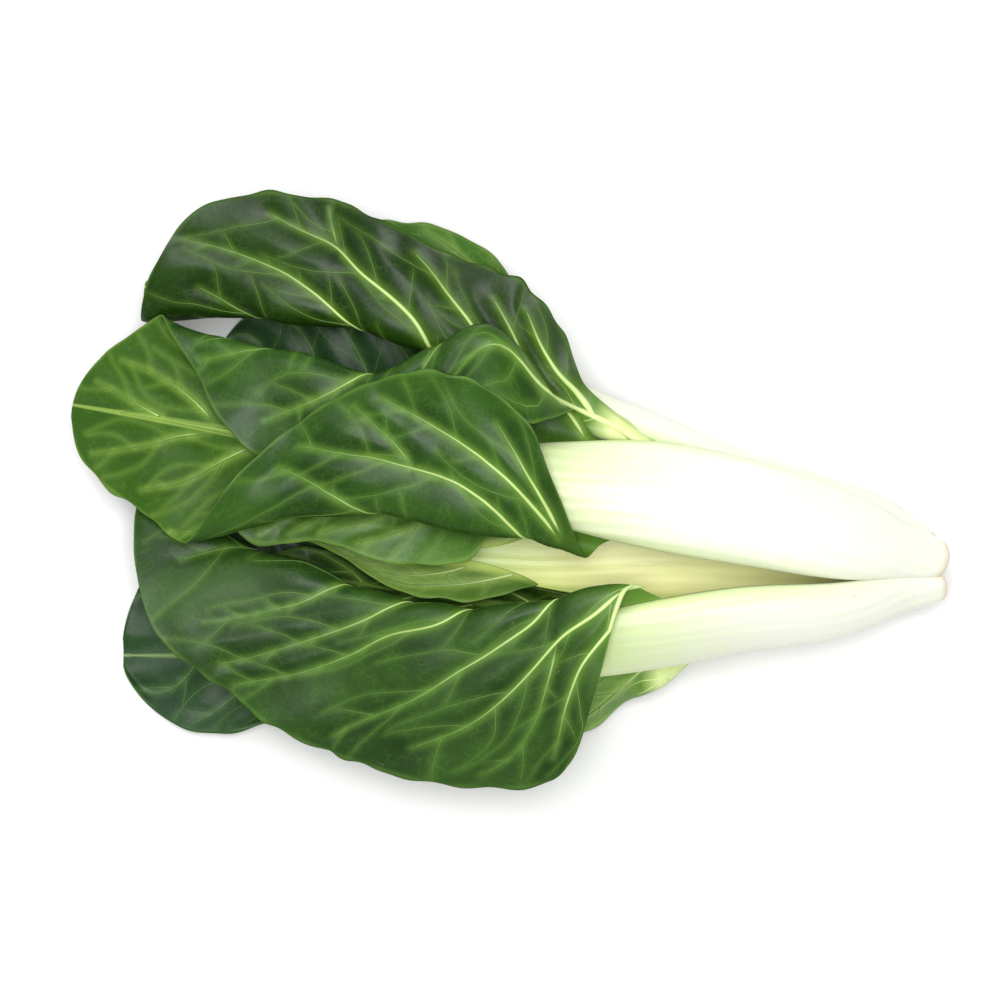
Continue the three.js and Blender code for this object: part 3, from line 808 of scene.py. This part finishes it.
class Paint:
    """One material and its nodes."""

    def __init__(self, name):
        self.material = bpy.data.materials.new(name)
        self.material.use_nodes = True
        self.tree = self.material.node_tree
        self.tree.nodes.clear()

    def node(self, kind, settings=None, inputs=None):
        node = self.tree.nodes.new(kind)
        for key, value in (settings or {}).items():
            setattr(node, key, value)
        for key, value in (inputs or {}).items():
            socket = node.inputs[key]
            if isinstance(value, Wire):
                value = value.socket
            if isinstance(value, bpy.types.NodeSocket):
                self.tree.links.new(value, socket)
            else:
                socket.default_value = value
        return node

    def wire(self, kind, settings=None, inputs=None, output=0):
        return Wire(self, self.node(kind, settings, inputs).outputs[output])

    def value(self, name):
        """A number kept on the vertices."""
        return self.wire("ShaderNodeAttribute", {"attribute_name": name}, output="Fac")

    def mix(self, share, first, second):
        """The first colour where share is 0 or less, the second where it is 1 or more."""
        inputs = {"Factor": share, 6: first, 7: second}
        return self.node("ShaderNodeMix", {"data_type": "RGBA"}, inputs).outputs[2]

    def flat_places(self, scale):
        """Places on the flat leaf, in mm, stretched by scale."""
        uv = self.node("ShaderNodeUVMap", {"uv_map": "Flat"}).outputs[0]
        scaled = [s / MM for s in scale]
        return self.node("ShaderNodeMapping", None, {"Vector": uv, "Scale": scaled}).outputs[0]

    def space_places(self):
        return self.node("ShaderNodeTexCoord").outputs["Object"]

    def noise(self, places, scale, detail=3.0, roughness=0.5):
        inputs = {"Vector": places, "Scale": scale, "Detail": detail, "Roughness": roughness}
        return self.wire("ShaderNodeTexNoise", None, inputs)

    def bump(self, height, distance, strength):
        inputs = {"Height": height, "Distance": distance, "Strength": strength}
        return self.node("ShaderNodeBump", None, inputs).outputs[0]

    def surface(self, **inputs):
        """Finishes the material with a Principled shader."""
        named = {key.replace("_", " "): value for key, value in inputs.items()}
        shader = self.node("ShaderNodeBsdfPrincipled", None, named)
        self.node("ShaderNodeOutputMaterial", None, {"Surface": shader.outputs[0]})
        return self.material


def colour(red, green, blue):
    """A colour given in 0 to 255, as the linear values that nodes use."""
    linear = [c / 255 / 12.92 if c <= 10 else ((c / 255 + 0.055) / 1.055) ** 2.4 for c in (red, green, blue)]
    return (*linear, 1.0)


print("leaf green in linear values", [round(c, 3) for c in colour(60, 99, 44)])

# %% [markdown]
# ## Leaf finishes
#
# The inner side of the leaf is dark green with a soft gloss. It is painted in layers on the flat leaf: two
# greens in slow patches, painted shade that darkens the grooves along the large veins and painted sheen that
# lightens the bulges between them, a pale net of the finest veins from a Voronoi texture, a lighter line
# beside the larger veins, the blade's start that turns fresh green and then nearly white, a thin light rim,
# the pale midrib and a few brown specks. The outer side is paler and duller, and on most leaves its net
# stands out more. Bump carries only what is finer than the mesh. The middle leaf has the two the other way
# round, since the photograph shows the rolled part of it dark. A painted picture could hold all this, but
# nodes need no file and stay sharp close up.

# %% Paint a leaf
NET = 0.3  # cells of the finest veins in one mm
DRIFT, FAINT, PATCHES, SPECKS, GRAIN = 0.16, 0.12, 0.03, 0.13, 0.9  # waves of each noise in one mm
NET_BEND = (4.0, 4.0, 0.0)  # mm by which the drift bends the net
LEAF_SHEEN = 0.17
FRESH = colour(92, 134, 40)
BLANCHED = colour(216, 232, 158)
SCAR = colour(120, 96, 62)
NET_LINE, NET_HOLLOW = 0.12, 0.45  # how far from a cell's edge the net is drawn, and its bump reaches
FRESH_GAIN, BLANCHED_GAIN = 1.6, 2.2  # how soon the pale start turns fresh green and then nearly white


def leaf_material(name, dark, mid, light, pale, rough, net):
    """A leaf surface: dark and mid greens, a light one beside veins and a pale one for the midrib."""
    dark, mid, light, pale = (colour(*green) for green in (dark, mid, light, pale))
    paint = Paint(name)
    flat = paint.flat_places((1, 1, 1))
    drift = paint.node("ShaderNodeTexNoise", None, {"Vector": flat, "Scale": DRIFT, "Detail": 2.0}).outputs[1]
    places = {0: drift, 1: NET_BEND, 2: flat}
    bent = paint.node("ShaderNodeVectorMath", {"operation": "MULTIPLY_ADD"}, places).outputs[0]
    places = {"Vector": bent, "Scale": NET}
    cells = paint.wire("ShaderNodeTexVoronoi", {"feature": "DISTANCE_TO_EDGE"}, places)
    lines = cells.step(NET_LINE, 0.0) * paint.noise(flat, FAINT, 2.0, 0.5).step(0.35, 0.65)
    patches = paint.noise(flat, PATCHES, 3.0, 0.55).step(0.36, 0.64)
    grain = paint.noise(flat, GRAIN, 3.0, 0.6)
    specks = paint.noise(flat, SPECKS, 2.0, 0.4).step(0.72, 0.78)
    specks = specks * paint.noise(flat, GRAIN, 3.0, 0.7).step(0.5, 0.62)
    # Painted light: dark green as painted shade in the grooves by the large veins, mid green as painted sheen
    # on the bulges
    base = paint.mix(patches * 0.55 + paint.value("painted_bulge_light") * 0.45, dark, mid)
    base = paint.mix((grain - 0.5) * 0.25 + lines * net, base, light)
    base = paint.mix(paint.value("vein_1") * 0.85 + paint.value("vein_2") * 0.3, base, light)
    base = paint.mix(paint.value("pale_base") * FRESH_GAIN, base, FRESH)
    base = paint.mix(paint.value("pale_base") * BLANCHED_GAIN - 1, base, BLANCHED)
    base = paint.mix(paint.value("rim") * 0.5, base, light)
    base = paint.mix(paint.value("midrib"), base, pale)
    base = paint.mix(specks * 0.5, base, SCAR)
    roughness = grain * 0.12 + patches * 0.05 + (rough - 0.08)
    normal = paint.bump(cells.step(0.0, NET_HOLLOW) * 0.5 + grain * 0.5, 0.2 * MM, 0.25)
    return paint.surface(Base_Color=base, Roughness=roughness, Normal=normal, Specular_IOR_Level=LEAF_SHEEN)


def vein_material(name, pale, green):
    """Veins: pale where they are thick or near the stalk, greener where they are thin and at their edges."""
    paint = Paint(name)
    base = paint.mix(paint.value("thin").step(0.1, 0.7), pale, green)
    base = paint.mix(paint.value("vein_edge").step(0.3, 1.0) * 0.85, base, green)
    base = paint.mix(paint.value("pale_base") * FRESH_GAIN, base, BLANCHED)
    return paint.surface(Base_Color=base, Roughness=0.4)


# dark, mid, light and pale greens, roughness and strength of the net
LOOKS = {
    "top_leaf_upper": [(18, 46, 8), (47, 84, 22), (94, 133, 48), (190, 212, 130), 0.36, 0.14],
    "front_leaf_upper": [(18, 43, 12), (46, 79, 25), (88, 126, 48), (190, 212, 124), 0.38, 0.14],
    "back_leaf_upper": [(10, 32, 3), (30, 60, 8), (78, 112, 32), (206, 222, 150), 0.35, 0.14],
    "middle_leaf_upper": [(60, 96, 26), (86, 122, 42), (130, 160, 72), (176, 198, 98), 0.45, 0.14],
    "low_leaf_upper": [(22, 50, 24), (38, 70, 34), (72, 106, 56), (150, 180, 100), 0.38, 0.14],
    # The inner leaves' greens and their midrib are partly their own dark green and partly painted shade of
    # the head's hollows
    "inner_leaf_upper": [(18, 42, 8), (36, 66, 16), (84, 116, 42), (104, 134, 58), 0.42, 0.14],
    "top_leaf_under": [(38, 72, 10), (55, 92, 20), (110, 145, 54), (158, 186, 88), 0.46, 0.12],
    "front_leaf_under": [(84, 126, 50), (108, 146, 68), (160, 188, 106), (200, 218, 130), 0.48, 0.24],
    "back_leaf_under": [(44, 84, 22), (66, 106, 34), (120, 152, 70), (200, 218, 140), 0.45, 0.2],
    "middle_leaf_under": [(44, 80, 26), (80, 120, 48), (128, 162, 76), (200, 212, 120), 0.38, 0.16],
    "low_leaf_under": [(52, 84, 44), (72, 106, 58), (108, 140, 80), (180, 200, 124), 0.48, 0.24],
    # Their outer side is darkened the same way: its own green and painted shade together
    "inner_leaf_under": [(36, 64, 18), (56, 86, 28), (96, 126, 50), (104, 134, 58), 0.45, 0.24],
}
finishes = {name: leaf_material(name, *look) for name, look in LOOKS.items()}
vein_finish = vein_material("veins", colour(186, 210, 124), colour(84, 122, 44))
print(len(finishes) + 1, "leaf materials")

# %% [markdown]
# ## Blades
#
# Each blade is a grid that reaches from its rounded start beside the stalk to the tip, and from margin to
# margin. The Solidify modifier gives it the thickness of a leaf, and the second material goes on its outer
# side and its rim, so one mesh shows both sides of the leaf. A second grid beside the first could do that
# too, with twice as much to keep in step.

# %% Make the blades
BLADE_THICKNESS = 0.55
KIND = {"low_front_leaf": "low_leaf", "low_back_leaf": "low_leaf", "inner_front_leaf": "inner_leaf",
        "heart_leaf_1": "inner_leaf", "heart_leaf_2": "inner_leaf"}
COARSE = 1.0
TIP_TRIM = 0.012  # stations left out at the tip, where the blade comes to a point
WOBBLE_WAVE, WOBBLE_HEIGHT = 15, 0.8  # of the margin's line, in mm
HALO, HALO_GROWTH, SMALL_HALO = 1.4, 1.5, 1.3  # how wide the light green beside a vein is
# mm over which painted shade in a groove turns to painted sheen on the bulge; the light rim's width
BULGE_LIGHT_WIDTH, RIM_WIDTH = 7, 1.1
TIP_CROWDING = 1.3  # the rows lie closer together towards the tip


def blanched(leaf, station, across):
    """How pale a blade is near its start, where little light reached it."""
    def fading(side):
        values = leaf[side]
        fade = smooth(values["start"], values["start"] + 0.9 * values["rise"], station)
        return values.get("blanch", 0.1) * (1 - fade)

    return each_side(across, fading)


def make_blade(name):
    leaf, sheet = LEAVES[name], sheets[name]
    step = leaf["mesh_step"] * COARSE
    columns = {side: math.ceil(max(sheet.sides[side]["reach"]) / step) for side in SIGNS}
    first = min(leaf[side]["start"] for side in SIGNS)
    rows = math.ceil((sheet.lengths[-1] - sheet.length_at(first)) / step)
    mesh, u, v = grid_mesh(name + "_blade_fine", (sum(columns.values()), rows))
    split = columns["far"] / sum(columns.values())
    share = np.where(u < split, (u - split) / split, (u - split) / (1 - split))
    share[np.abs(share) < 1e-5] = 0
    start = each_side(share, lambda side: sheet.first_station(np.abs(share), side))
    station = start + (LAST - TIP_TRIM - start) * (1 - (1 - v) ** TIP_CROWDING)
    reach = each_side(share, lambda side: sheet.reach(station, side))
    x = sheet.length_at(station)
    wobble = waves(leaf["seed"] + 2, WOBBLE_WAVE, x, np.sign(share) * 90)
    wobble = wobble * WOBBLE_HEIGHT * smooth(0, 12, reach)
    across = share * (reach + wobble * np.abs(share) ** 4)
    lift, near = reliefs[name].read(station, across)
    half = sheet.half(station)
    large, size = near[1]
    values = {
        "vein_1": np.exp(-((large / (HALO + HALO_GROWTH * size)) ** 2)) * np.clip(0.35 + size, 0, 1),
        "vein_2": np.exp(-((near[2][0] / SMALL_HALO) ** 2)),
        # painted light: 0 at a large vein, whose groove gets painted shade, and 1 on the bulge, which gets
        # painted sheen
        "painted_bulge_light": 1 - np.exp(-large / BULGE_LIGHT_WIDTH),
        "rim": np.exp(-(((reach - np.abs(across)) / RIM_WIDTH) ** 2)),
        "midrib": (1 - smooth(0.6 * half, 1.1 * half, np.abs(across))) * (1 - 0.45 * smooth(6.5, 9, station)),
        "pale_base": blanched(leaf, station, across),
    }
    write_mesh(mesh, sheet.place(station, across, lift), np.stack([x, across], 1), values)
    kind = KIND.get(name, name)
    sides = [finishes[kind + "_upper"], finishes[kind + "_under"]]
    piece = add_piece(name + "_blade_fine", mesh, sides, name + "_blade")
    solid = piece.modifiers.new("Leaf thickness", "SOLIDIFY")
    solid.thickness = BLADE_THICKNESS * MM
    solid.offset = 0
    solid.material_offset = 1
    solid.material_offset_rim = 1
    return piece


blades = {name: make_blade(name) for name in LEAVES}
for name, piece in blades.items():
    print(name, len(piece.data.polygons), "faces before thickness")

# %% [markdown]
# ## Raised veins
#
# The large veins and their branches are thicker than the blade and show on both of its sides. Each is a small
# tube: a grid whose columns go round a flattened ring and whose rows follow the vein on the flat leaf. The
# ring is flatter on the inner side of the leaf, where a vein hardly rises, and fuller on the outer side. Bump
# could only shade them, and they would vanish where a leaf is seen from its edge.

# %% Make the veins
RING = 8
INNER_RISE = 0.35  # of the ring's height, as shares of its radius
OUTER_RISE = 0.9
CLEAR = 0.1  # mm that even the thinnest vein stands out of the blade
WELD_DISTANCE = 0.01  # vertices of a vein or a stalk that lie closer than this, in mm, are one


def make_veins(name):
    sheet = sheets[name]
    paths = [(path, sign) for side, sign in SIGNS.items() for path in trees[name, side].paths]
    mesh, share, _ = grid_mesh(name + "_veins", *[(RING, len(path["points"]) - 1) for path, _ in paths])
    rows = []
    for path, sign in paths:
        points = path["points"] * [1, sign]
        ahead = np.gradient(points, axis=0)
        ahead /= np.linalg.norm(ahead, axis=1, keepdims=True)
        radius = path["radius"].copy()
        radius[[0, -1]] = 0
        rows.append(np.column_stack([points, ahead, radius]))
    x, y, ahead_x, ahead_y, radius = np.repeat(np.concatenate(rows), RING + 1, axis=0).T
    turn = 2 * np.pi * share
    out, aside = np.sin(turn), np.cos(turn)
    lift, _ = reliefs[name].read(sheet.station_at(x), y)
    rise = np.where(out > 0, OUTER_RISE, INNER_RISE) * radius + BLADE_THICKNESS / 2 + CLEAR
    rise = rise * np.minimum(radius * 10, 1)
    values = {"vein_edge": np.abs(aside), "thin": 1 - np.clip(radius, 0, 1),
              "pale_base": blanched(LEAVES[name], sheet.station_at(x), y)}
    x = x - ahead_y * radius * aside
    across = y + ahead_x * radius * aside
    points = sheet.place(sheet.station_at(x), across, lift + rise * out)
    write_mesh(mesh, points, np.stack([x, across], 1), values)
    weld(mesh, WELD_DISTANCE, fill=False)
    return add_piece(name + "_veins", mesh, [vein_finish], name + "_blade")


veins = {name: make_veins(name) for name in LEAVES}
print(sum(len(piece.data.polygons) for piece in veins.values()), "faces of veins")

# %% [markdown]
# ## Stalks
#
# A stalk is thick and white, hollowed on its inner side and ribbed lengthwise. Its section is a closed loop:
# the hollow face follows the sheet and the round face stands off it. A ring of grid columns goes round that
# loop, and the seam and the two ends are closed with bmesh. The ribs are a few millimetres apart, so they are
# in the mesh. Green creeps in along the edges and towards the blade, and fine streaks run lengthwise.

# %% Paint the stalks
STRETCH = 0.035  # the streaks are this much slower lengthwise
FLESH_DEPTH = (0.012, 0.011, 0.005)  # how far light goes into the stalk


def stalk_material(name, white, tint, green, tip):
    white, tint, green, tip = (colour(*shade) for shade in (white, tint, green, tip))
    paint = Paint(name)
    flat = paint.flat_places((STRETCH, 1, 1))
    streaks = paint.noise(flat, 0.55, 3.0, 0.6)
    fine = paint.noise(flat, 2.2, 2.0, 0.5)
    patches = paint.noise(paint.space_places(), 28.0, 2.0)
    specks = paint.noise(paint.space_places(), 150.0, 2.0, 0.5).step(0.75, 0.78)
    base = paint.mix((streaks * 0.8 + patches * 0.4 - 0.25).clamped() * 0.6, white, tint)
    base = paint.mix(paint.value("green") + (streaks - 0.5) * 0.5 * paint.value("green"), base, green)
    base = paint.mix(paint.value("tip"), base, tip)
    base = paint.mix(specks * 0.3, base, colour(186, 156, 106))
    base = paint.mix(paint.value("cut") * 0.5, base, colour(206, 170, 122))
    normal = paint.bump(streaks * 0.6 + fine * 0.4, 0.3 * MM, 0.4)
    return paint.surface(Base_Color=base, Roughness=0.34 + fine * 0.1, Normal=normal,
                         Subsurface_Weight=0.6, Subsurface_Radius=FLESH_DEPTH)


white_stalk = stalk_material("white_stalk", (238, 239, 230), (228, 233, 192), (190, 214, 116), (118, 158, 56))
pale_stalk = stalk_material("pale_stalk", (255, 254, 190), (248, 250, 146), (172, 200, 84), (104, 140, 48))
inner_stalk = stalk_material("inner_stalk", (216, 222, 138), (196, 206, 104), (84, 122, 40), (50, 84, 24))
print("three stalk materials")

# %% [markdown]
# ## The form of a stalk
#
# Going round the section, the first half of the turn is the hollow face and the second half the round one.
# Cosine and sine of the turn give the place across and the height, so the points crowd at the two edges,
# where the section bends most. Towards the cut end the stalk runs straight on to the cut face. A bevelled
# curve could make a stalk too, but its section could not follow the hollow of the blade.

# %% Make the stalks
STALK_FACE = 55  # mm across one face and along a stalk, about, for the fineness of its grid
STALK_LONG = 264
MIDRIB_END = 9.5  # stations
STALK_EDGE = 1.0  # thickness at the two edges
STALK_LIFT = 0.32
RIB_SPACING = 4.4
RIB_HEIGHT = 0.2
STALK_SHORT = 8.6  # the fine stalks run on by this much, to the cut face
BACK_STALK_SHORT = 4.5
STALK_JOIN = 1.5  # how much wider they are at the crown, where the stalks grow together
JOIN_END = (0.9, 3.0)  # stations over which that ends
NARROWING = (6.5, 8.5)  # stations over which the midrib gets narrower than the solid's
FADING = (8.0, MIDRIB_END)  # stations over which it ends in the blade
GREEN_EASE = 1.4  # stations before and after the blade's start over which green comes in
TIP_GREEN = (5.0, 7.6)  # stations over which the midrib turns as green as its tip
CUT_BROWN = (0, 0.22)
STALK_FINISH = {"middle_leaf": pale_stalk, "inner_front_leaf": inner_stalk,
                "heart_leaf_1": inner_stalk, "heart_leaf_2": inner_stalk}


def make_stalk(name):
    leaf, sheet = LEAVES[name], sheets[name]
    step = leaf["mesh_step"] * COARSE
    mesh, u, v = grid_mesh(name + "_stalk_fine", (2 * round(STALK_FACE / step), round(STALK_LONG / step)))
    station = MIDRIB_END * v
    turn = 2 * np.pi * u
    share = -np.cos(turn)
    level = np.abs(np.sin(turn))
    outer = np.sin(turn) < 0
    joined = STALK_JOIN * (1 - smooth(*JOIN_END, station))
    ending = 1 - smooth(*FADING, station)
    half = sheet.half(station) * (1 - 0.4 * smooth(*NARROWING, station)) * (0.1 + 0.9 * ending) + joined
    depth = sheet.depth(station) * (0.2 + 0.8 * ending)
    edge = np.minimum(STALK_EDGE, depth * 0.35)
    across = share * half
    x = sheet.length_at(station)
    ribs = np.cos(2 * np.pi * across / RIB_SPACING + waves(leaf["seed"] + 3, 90, x, across) * 1.5)
    ribs = ribs * RIB_HEIGHT * level * np.clip(half / 12, 0, 1)
    round_face = edge * np.minimum(1, level * 6) ** 0.5 + (depth - edge) * level + ribs
    points = sheet.place(station, across, STALK_LIFT + np.where(outer, round_face, -ribs * 0.5))
    short = BACK_STALK_SHORT if name == "back_leaf" else STALK_SHORT
    points[:, 0] += short * MM * (1 - smooth(0, 0.9, station))
    points[:, 2] = np.maximum(points[:, 2], 0.0)
    start = max(leaf[side]["start"] for side in SIGNS)
    green = smooth(start - GREEN_EASE, start + GREEN_EASE, station) * 0.8
    green = np.maximum(green, smooth(0.6, 1.0, np.abs(share)) * smooth(0.5, start, station) * 0.7)
    tip = smooth(*TIP_GREEN, station) * 0.9
    values = {"green": green, "tip": tip, "cut": 1 - smooth(*CUT_BROWN, station)}
    write_mesh(mesh, points, np.stack([x, across], 1), values)
    weld(mesh, WELD_DISTANCE, fill=True)
    return add_piece(name + "_stalk_fine", mesh, [STALK_FINISH.get(name, white_stalk)], name + "_stalk")


stalks = {name: make_stalk(name) for name in LEAVES}
print(sum(len(piece.data.polygons) for piece in stalks.values()), "faces of stalks")

# %% [markdown]
# ## The crown
#
# All the stalks grow from a short stump that has been cut across. Its outline swells where each outer stalk
# joins it. It is a grid wrapped round the head's axis: the rows follow a profile from the core inside the
# head, out to the rim and over a rounded edge onto the cut face. The cut face is cream with darker rings, and
# its rim has browned a little. The Screw modifier could turn such a profile too, but the stump would come out
# perfectly round.

# %% Paint and make the crown
CROWN_PROFILE = [  # mm along the axis from the cut face, and radius there
    (-16.5, 1.0), (-15, 4), (-11, 6), (-8.5, 9.5), (-6, 11.6), (-3, 12.2), (-1.4, 12.0), (-0.4, 11.2),
    (-0.1, 9), (0.1, 5), (0.15, 0.02),
]
CROWN_GRID = (160, 120)
LOBE_WIDTH = 0.42  # radians
LEAST_SHARE, LOBE_SHARE = 0.86, 0.28  # of the profile's radius, between the stalks and added at each of them
CROWN_WELD = 0.02
OUTER_STALKS = ("top_leaf", "front_leaf", "back_leaf", "low_front_leaf", "low_back_leaf")


def crown_material():
    paint = Paint("crown_cut")
    grain = paint.noise(paint.space_places(), 260.0, 4.0, 0.6)
    spots = paint.noise(paint.space_places(), 620.0, 2.0, 0.5).step(0.56, 0.66)
    base = paint.mix(grain.step(0.3, 0.7), colour(240, 236, 206), colour(222, 212, 168))
    base = paint.mix(paint.value("ring").step(0.35, 0.6) * 0.35 + spots * 0.25, base, colour(196, 176, 120))
    base = paint.mix(paint.value("brown") * grain.step(0.25, 0.6), base, colour(172, 124, 78))
    normal = paint.bump(grain * 0.6 + spots * 0.4, 0.4 * MM, 0.6)
    return paint.surface(Base_Color=base, Roughness=0.5 + grain * 0.15, Normal=normal,
                         Subsurface_Weight=0.1, Subsurface_Radius=(0.004, 0.003, 0.002))


def make_crown():
    mesh, u, v = grid_mesh("crown_fine", CROWN_GRID)
    count = len(CROWN_PROFILE) - 1
    place, radius = (np.interp(v * count, range(count + 1), column) for column in zip(*CROWN_PROFILE))
    turn = 2 * np.pi * u
    lobes = np.zeros(len(u))
    for name in OUTER_STALKS:
        aside = np.angle(np.exp(1j * (turn - math.radians(sheets[name].facing[0]))))
        lobes = np.maximum(lobes, np.exp(-((aside / LOBE_WIDTH) ** 2)))
    swelling = LEAST_SHARE + LOBE_SHARE * lobes * smooth(6, 12.5, radius)
    radius = radius * swelling + waves(5, 6, radius * np.cos(turn), radius * np.sin(turn)) * 0.15
    radius = np.maximum(radius, 0)
    y, z = radius * np.cos(turn), radius * np.sin(turn)
    x = place + waves(6, 9, y, z) * 0.12
    points = np.stack([CROWN_FACE + x, CROWN_Y + y, CROWN_Z + z], 1) * MM + move
    ring = (0.5 + 0.5 * np.cos(radius * 1.9)) * smooth(-1.5, -0.3, place)
    brown = smooth(8.5, 12.5, radius) * smooth(-5, -0.5, place)
    write_mesh(mesh, points, np.stack([place, radius], 1), {"ring": ring, "brown": brown})
    weld(mesh, CROWN_WELD, fill=True)
    return add_piece("crown_fine", mesh, [crown_material()], "crown")


crown = make_crown()
print("crown has", len(crown.data.polygons), "faces")

# %% [markdown]
# ## Floor, light and camera
#
# The photograph looks straight down on the head in soft light, on white. A pale floor, a bright sky, one
# large lamp overhead and a weak one at the back do the same here. The camera stands 1.6 m above the middle of
# the head, so that the parts nearer to it look a little larger, as they do in the photograph. A picture of a
# room could light the head too, but lamps need no file and are easy to move.

# %% Make the stage
CAMERA_HEIGHT = 1.6
SEEN_WIDTH = 0.4  # metres across the picture
VIEW_MIDDLE = np.array([-3.4, -2.4, 40.0]) * MM + move
FLOOR_SIZE = 6
FLOOR_COLOUR = (0.86, 0.86, 0.86, 1)
SKY = 0.5


def add_object(name, data, place=(0, 0, 0)):
    thing = bpy.data.objects.new(name, data)
    thing.location = place
    bpy.context.collection.objects.link(thing)
    return thing


def add_lamp(name, place, size, watts):
    """A square lamp that shines on the middle of the head."""
    lamp = bpy.data.lights.new(name, "AREA")
    lamp.size = size
    lamp.energy = watts
    holder = add_object(name, lamp, place)
    holder.rotation_euler = (-holder.location).to_track_quat("-Z", "Y").to_euler()


floor, _, _ = grid_mesh("floor", (1, 1))
floor.transform(Matrix.Scale(FLOOR_SIZE, 4))
floor.materials.append(Paint("floor").surface(Base_Color=FLOOR_COLOUR, Roughness=0.9))
add_object("floor", floor)

add_lamp("overhead softbox", place=(0.0, 0.06, 2.3), size=1.0, watts=44)
add_lamp("back softbox", place=(-0.5, 0.8, 1.1), size=0.8, watts=6)
world = bpy.data.worlds.new("sky")
world.use_nodes = True
world.node_tree.nodes["Background"].inputs["Color"].default_value = (1, 1, 1, 1)
world.node_tree.nodes["Background"].inputs["Strength"].default_value = SKY
bpy.context.scene.world = world
bpy.context.scene.view_settings.view_transform = "Standard"

camera = bpy.data.cameras.new("camera")
camera.lens = camera.sensor_width * CAMERA_HEIGHT / SEEN_WIDTH
bpy.context.scene.camera = add_object("camera", camera, VIEW_MIDDLE + np.array([0, 0, CAMERA_HEIGHT]))
print("lens in mm", camera.lens)

# %% [markdown]
# ## Finish
#
# The view layer is brought up to date. The finished pieces should differ from the frame's solids only by the
# little that ribs, veins and ruffled margins add.

# %% Finish
bpy.context.view_layer.update()
